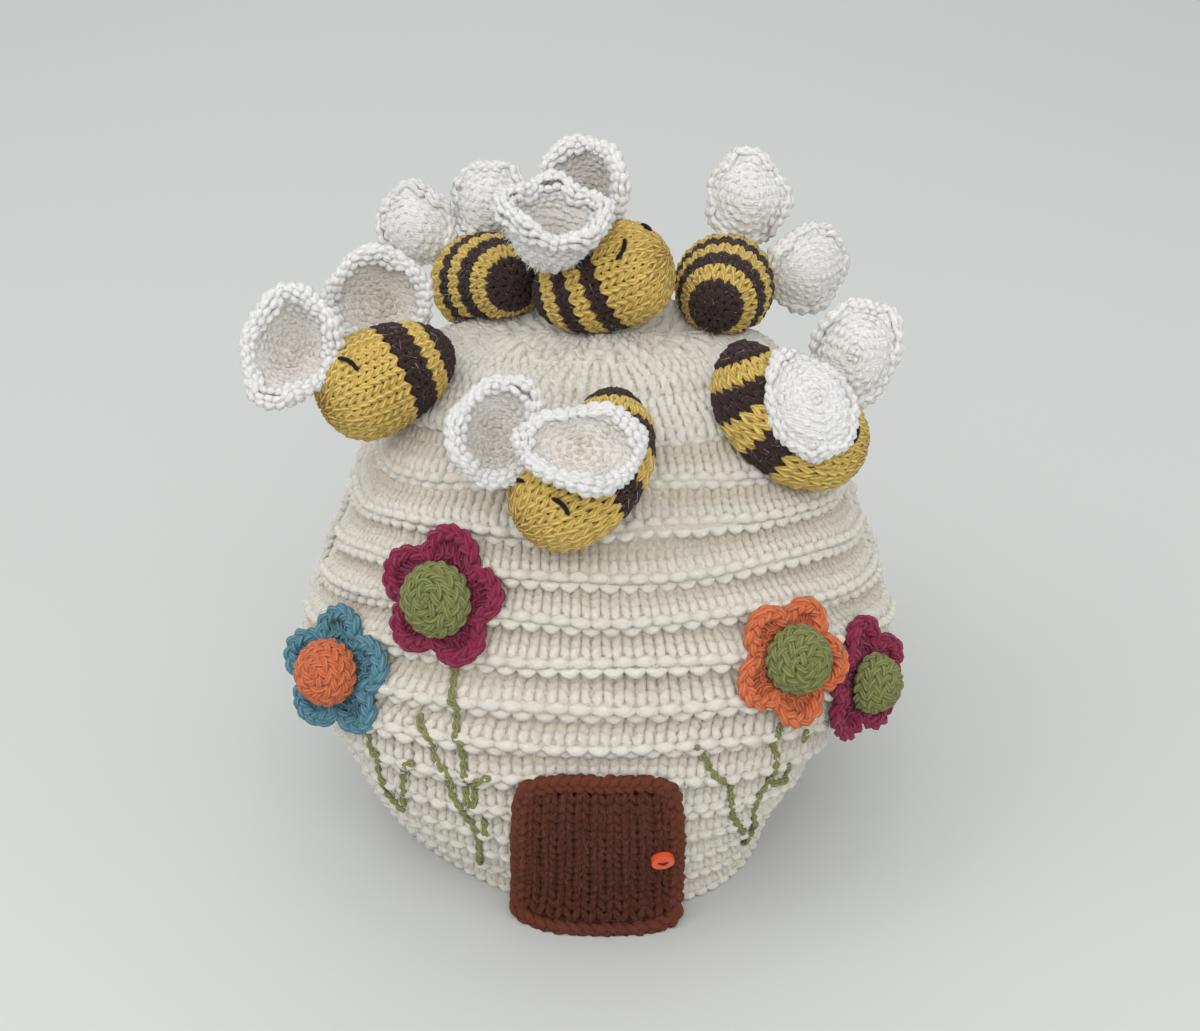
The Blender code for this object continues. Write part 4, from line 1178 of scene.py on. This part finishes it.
def makeFlower(name, seed):
    valley, turn, reach, spin, looks, width, high, petals, centre = flowers[name]
    turn = math.radians(turn)
    middle = hiveBase(valley, turn) + hiveOut(valley, turn) * flowerKnit["off"]
    out = unit(hiveOut(valley, turn) * (1 - looks) + frontUp * looks)
    up = unit(np.array((0, 0, 1.0)) - out * out[2])
    right = np.cross(up, out)
    solid = nodeTree(name + "_petals")

    def lobeOf(angle):
        return np.abs(np.cos(2.5 * (angle - math.radians(spin)) + 0.12 * np.sin(angle * 2 + spin)))

    def outline(angle):
        own = 1 + 0.05 * np.sin(angle + spin) + 0.035 * np.sin(2 * angle + 3 * spin)
        return reach * own * (1 - flowerKnit["lobeDepth"] * (1 - lobeOf(angle) ** flowerKnit["lobeRound"]))

    def surface(u, v, lift=0.0):
        angle = 2 * np.pi * np.asarray(u, float)
        far = outline(angle) * np.asarray(v, float)
        foot = middle + right * (np.cos(angle) * far)[..., None] + up * (np.sin(angle) * far)[..., None]
        flat, heights = foot.reshape(-1, 3), []
        for point in flat:
            hit = solid.ray_cast(Vector(point + out * 40), Vector(-out))[0]
            heights.append((np.array(hit) - point) @ out if hit else None)
        known = [h for h in heights if h is not None] or [3.0]
        heights = np.array([min(known) if h is None else h for h in heights]).reshape(far.shape)
        return foot + out * (heights + lift)[..., None]

    # rounds of stitches inside, a thick chain round the edge
    rows = []
    for v, count, thick, shade in flowerKnit["rounds"]:
        rows.append(rowOn(lambda u, w: surface(u, w, -1.6), v, 0.22, count, head=-0.3, leg=0.7, foot=-0.3,
                          closed=True, shade=shade, thick=thick, reach=0.3))
    u = np.arange(160) / 160
    edge = surface(u, np.full(160, flowerKnit["edge"]), -1.7 + 1.5 * lobeOf(2 * np.pi * u))
    edge = (np.roll(edge, 1, 0) + np.roll(edge, -1, 0) + 2 * edge) / 4
    rows += plait(edge, np.broadcast_to(out, edge.shape), *flowerKnit["edgeChain"], closed=True, shade=0.0,
                  thick=1.08 + 0.12 * np.sin(26 * np.pi * u + seed))
    chain = knit(name + "_petal_stitches", rows, petals, flowerKnit["yarnRadius"], bulge=0.15, height=0.62,
                 unevenness=0.5, seed=seed)
    u, v = np.broadcast_arrays((np.arange(60) / 60)[None, :], np.linspace(0.02, 0.86, 8)[:, None])
    upper, under = (surface(u, v, lift) for lift in flowerKnit["cloth"])
    rims = [np.stack([upper[i], under[i]]) for i in (-1, 0)]
    cloth = clothMesh(name + "_petals_cloth", [(grid, True) for grid in (upper, under, *rims)], petals)

    level = ((nodePoints(name + "_centre") - middle) @ out).min() + 0.6
    base = middle + out * level

    def dome(u, v, lift=0.0):
        angle, polar = 2 * np.pi * np.asarray(u, float), np.radians(np.asarray(v, float))
        wide, tall = width / 2 + lift, high + lift
        return (base + (right * np.cos(angle)[..., None] + up * np.sin(angle)[..., None])
                * (np.sin(polar) * wide)[..., None] + out * (np.cos(polar) * tall)[..., None])
    rounds = []
    for polar, turns, thick in flowerKnit["centreRounds"]:
        a = np.arange(turns * 16) / (turns * 16)
        polars = polar + 3 * np.sin(2 * np.pi * a * 2 + seed)
        ring = dome(a, polars, -0.95)
        outs = unit(dome(a, polars, 1.0) - dome(a, polars, -1.0))
        rounds += plait(ring, outs, 1.45 if polar > 10 else 0.5, flowerKnit["centreDepth"], turns,
                        closed=True, shade=0.05, thick=thick)
    knob = knit(name + "_centre_stitches", rounds, centre, flowerKnit["centreYarn"], unevenness=1.0,
                seed=seed + 0.5)
    u, v = np.broadcast_arrays((np.arange(28) / 28)[None, :], np.linspace(1, 90, 9)[:, None])
    skin = dome(u, v, -1.7)
    bottom = base + (skin[-1] - base) * 0.02
    core = clothMesh(name + "_centre_body", [(skin, True), (np.stack([skin[-1], bottom]), True)], centre)
    for piece, slot in ((chain, petals), (cloth, petals), (knob, centre), (core, centre)):
        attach(piece, "root")
    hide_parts(name + "_petals")
    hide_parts(name + "_centre")


for number, name in enumerate(flowers):
    makeFlower(name, 60 + number)
print("flowers made")


door = {
    "width": 42.5, "middle": -0.6,
    "top": 5.5,  # the valley that it reaches up to
    "flare": 9.5,  # how far its foot stands out
    "columns": 9, "rows": 16, "knitted": 0.87,  # share of the height inside the border
    "yarnRadius": 1.10, "depth": 0.8, "bulge": 0.31, "loopHeight": 0.72, "unevenness": 1.5,
    "border": (1.25, 0.75, 19), "beads": 34,  # width, depth and turns, and its thicker places
    "pile": (0.6, 2.2, 0.055, 1.2),
    "cut": (0.0425, 0.060),  # the flat fabric, in m
}


def doorPoint(across, rise, lift):
    across = across + door["middle"]
    valley = np.clip(door["top"] * rise, 0, 6)
    v = hiveValues(valley)
    reach = np.where(across > 0, v[..., 6], v[..., 5])
    turn = np.arcsin(across / reach)
    for _ in range(4):
        turn = turn + (across - hiveBase(valley, turn)[..., 0]) / reach
    out = hiveOut(valley, turn)
    out[..., 2] = 0
    flare = door["flare"] * np.clip(1 - rise / 0.3, 0, None) ** 2
    point = hiveBase(valley, turn) + unit(out) * (2.2 + flare + lift)[..., None]
    point[..., 2] = np.maximum(point[..., 2], 0.8)
    return point


def doorSurface(lift):
    def surface(u, v):
        x, y = 2 * np.asarray(u, float) - 1, 2 * np.asarray(v, float) - 1
        across = x * np.sqrt(1 - 0.21 * y ** 4) * door["width"] / 2
        rise = (1 + y * np.sqrt(1 - 0.21 * x ** 4)) / 2
        return doorPoint(across, rise, lift + 0 * across)
    return surface


def makeDoor():
    skin = doorSurface(2.0)
    depth = door["depth"]
    rows = []
    spacing = door["knitted"] / door["rows"]
    for i in range(door["rows"]):
        v = (1 - door["knitted"]) / 2 + spacing * (i + 0.5)
        rows.append(rowOn(skin, v, spacing, door["columns"], head=-depth, leg=depth, foot=-depth,
                          low=0.06, high=0.94, shade=0.55, plump=0.18, reach=0.3))
    t = np.arange(260) / 260  # once round the door
    x = 2 * np.clip(np.abs((t * 4) % 4 - 2) - 0.5, 0, 1) - 1
    y = 2 * np.clip(np.abs((t * 4 + 1) % 4 - 2) - 0.5, 0, 1) - 1
    edge = skin(0.5 + 0.475 * x, 0.5 + 0.48 * y)
    for _ in range(3):
        edge = (np.roll(edge, 1, 0) + np.roll(edge, -1, 0) + 2 * edge) / 4
    outs = unit((edge - (0, 40.0, 0)) * (1, 1, 0))  # level, away from a line inside the hive
    beads = np.sin(t * 2 * np.pi * door["beads"])
    rows += plait(edge, outs, *door["border"], closed=True, shade=-0.15, thick=1.22 + 0.14 * beads)
    stitched = knit("door_stitches", rows, "brown", door["yarnRadius"], bulge=door["bulge"],
                    height=door["loopHeight"], unevenness=door["unevenness"], seed=70)
    u, v = np.broadcast_arrays(np.linspace(0.03, 0.97, 17)[None, :], np.linspace(0.02, 0.98, 19)[:, None])
    front, back = doorSurface(1.3)(u, v), doorSurface(0.1)(u, v)
    front[..., 2] = np.maximum(front[..., 2], 0.3)
    back[..., 2] = np.maximum(back[..., 2], 0.3)
    sides = [np.stack([front[i], back[i]]) for i in (0, -1)]
    sides += [np.stack([front[:, i], back[:, i]]) for i in (0, -1)]
    cloth = clothMesh("door_cloth", [(grid, False) for grid in (front, back, *sides)], "brown")
    u, v = np.broadcast_arrays(np.linspace(0.01, 0.99, 21)[None, :], np.linspace(0.01, 0.99, 25)[:, None])
    fluff = addPile("door_pile", [doorSurface(3.0)(u, v)], "brown", *door["pile"], 9)
    for piece in (stitched, fluff, cloth):
        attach(piece, "root")
    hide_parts("door")


makeDoor()

buttonLook = {
    "dark": (0.70, 0.075, 0.022, 1), "light": (0.80, 0.115, 0.035, 1), "roughness": 0.38, "coat": 0.15,
    "threadHalf": 1.1, "threadRadius": 0.36,
}


def makeButton():
    material = bpy.data.materials.new("button plastic")
    material.use_nodes = True
    nodes, links = material.node_tree.nodes, material.node_tree.links
    shader = nodes["Principled BSDF"]
    place, cloud = nodes.new("ShaderNodeTexCoord"), nodes.new("ShaderNodeTexNoise")
    ramp = nodes.new("ShaderNodeValToRGB")
    cloud.inputs["Scale"].default_value = 420.0
    ramp.color_ramp.elements[0].color = buttonLook["dark"]
    ramp.color_ramp.elements[1].color = buttonLook["light"]
    links.new(place.outputs["Object"], cloud.inputs["Vector"])
    links.new(cloud.outputs["Fac"], ramp.inputs["Fac"])
    links.new(ramp.outputs["Color"], shader.inputs["Base Color"])
    shader.inputs["Roughness"].default_value = buttonLook["roughness"]
    shader.inputs["Coat Weight"].default_value = buttonLook["coat"]
    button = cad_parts["button"]
    button.data.materials.clear()
    button.data.materials.append(material)
    points = nodePoints("button")
    middle = (points.min(0) + points.max(0)) / 2
    _, _, axes = np.linalg.svd(points - points.mean(0), full_matrices=False)
    out = axes[2] * (1 if axes[2][1] < 0 else -1)
    side = unit(np.cross((0, 0, 1.0), out))
    side = side * (1 if side[0] > 0 else -1)
    t = np.linspace(-1, 1, 13)[:, None]  # out of one hole and into the other
    rise = 0.9 + 0.42 * np.cos(t * np.pi / 2) - 0.9 * np.abs(t) ** 6
    line = middle + side * (t * buttonLook["threadHalf"]) + out * rise
    thread = knit("button_thread", [strand(line, np.broadcast_to(out, line.shape))], "brown",
                  buttonLook["threadRadius"], unevenness=0.0)
    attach(thread, "root")


makeButton()
print("door and button made")


stemKnit = {
    "lift": 0.75, "step": 0.42, "turn": 6.0,  # off the skin, along the line, and one turn of its two strands
    "width": 0.52, "depth": 0.34, "yarnRadius": 0.56,
}
stemLines = {  # places in the camera's picture, from the top down
    "stem_b": ((447, 658), (456, 671), (451, 701), (458, 706), (456, 739), (462, 743), (464, 773), (467, 778),
               (468, 806)),
    "stem_b_foot": ((463, 809), (479, 831), (481, 864)),
    "stem_b_twig": ((492, 776), (476, 781), (476, 804), (468, 806)),
    "stem_b_side": ((486, 817), (486, 837)),
    "leaf_b": ((424, 713), (419, 723), (433, 743), (439, 763), (449, 774), (453, 793), (463, 809)),
    "stem_a": ((371, 730), (373, 751), (381, 756), (381, 771), (385, 781), (390, 793), (406, 811)),
    "stem_a_twig": ((416, 763), (406, 763), (405, 786), (405, 806)),
    "leaf_c": ((695, 745), (716, 778), (729, 781), (731, 816), (743, 833)),
    "stem_c": ((778, 722), (778, 733), (771, 740), (776, 758), (773, 770), (766, 781), (754, 800), (751, 814),
               (753, 824), (746, 838), (740, 844)),
    "stem_d": ((804, 728), (802, 742)),
    "stem_d_twig": ((786, 762), (783, 780), (769, 783)),
}


def makeStems():
    rows = []
    for line in stemLines.values():
        line = np.array(line, float)
        dense = [np.linspace(a, b, 6, endpoint=False) for a, b in zip(line, line[1:])]
        found = [seen(x, y, stitchSkin, stemKnit["lift"]) for x, y in np.concatenate(dense + [line[-1:]])]
        points = smoothLine([p for p, _ in found], stemKnit["step"])
        outs = unit(np.array([np.array(stitchSkin.find_nearest(Vector(p))[1]) for p in points]))
        outs *= np.sign((outs * (points - np.array((0, 0, 60.0)))).sum(1, keepdims=True))
        turns = max(1, round(len(points) * stemKnit["step"] / stemKnit["turn"]))
        rows += plait(points, outs, stemKnit["width"], stemKnit["depth"], turns, shade=0.0, strands=2)
    stems = knit("embroidered_stems", rows, "stem", stemKnit["yarnRadius"], sides=5, unevenness=0.8, seed=80)
    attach(stems, "root")


makeStems()
print("stems made")

total = 0
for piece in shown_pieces():
    if piece.type == "MESH":
        total += sum(len(p.vertices) - 2 for p in piece.data.polygons)
print("triangles in all:", total)
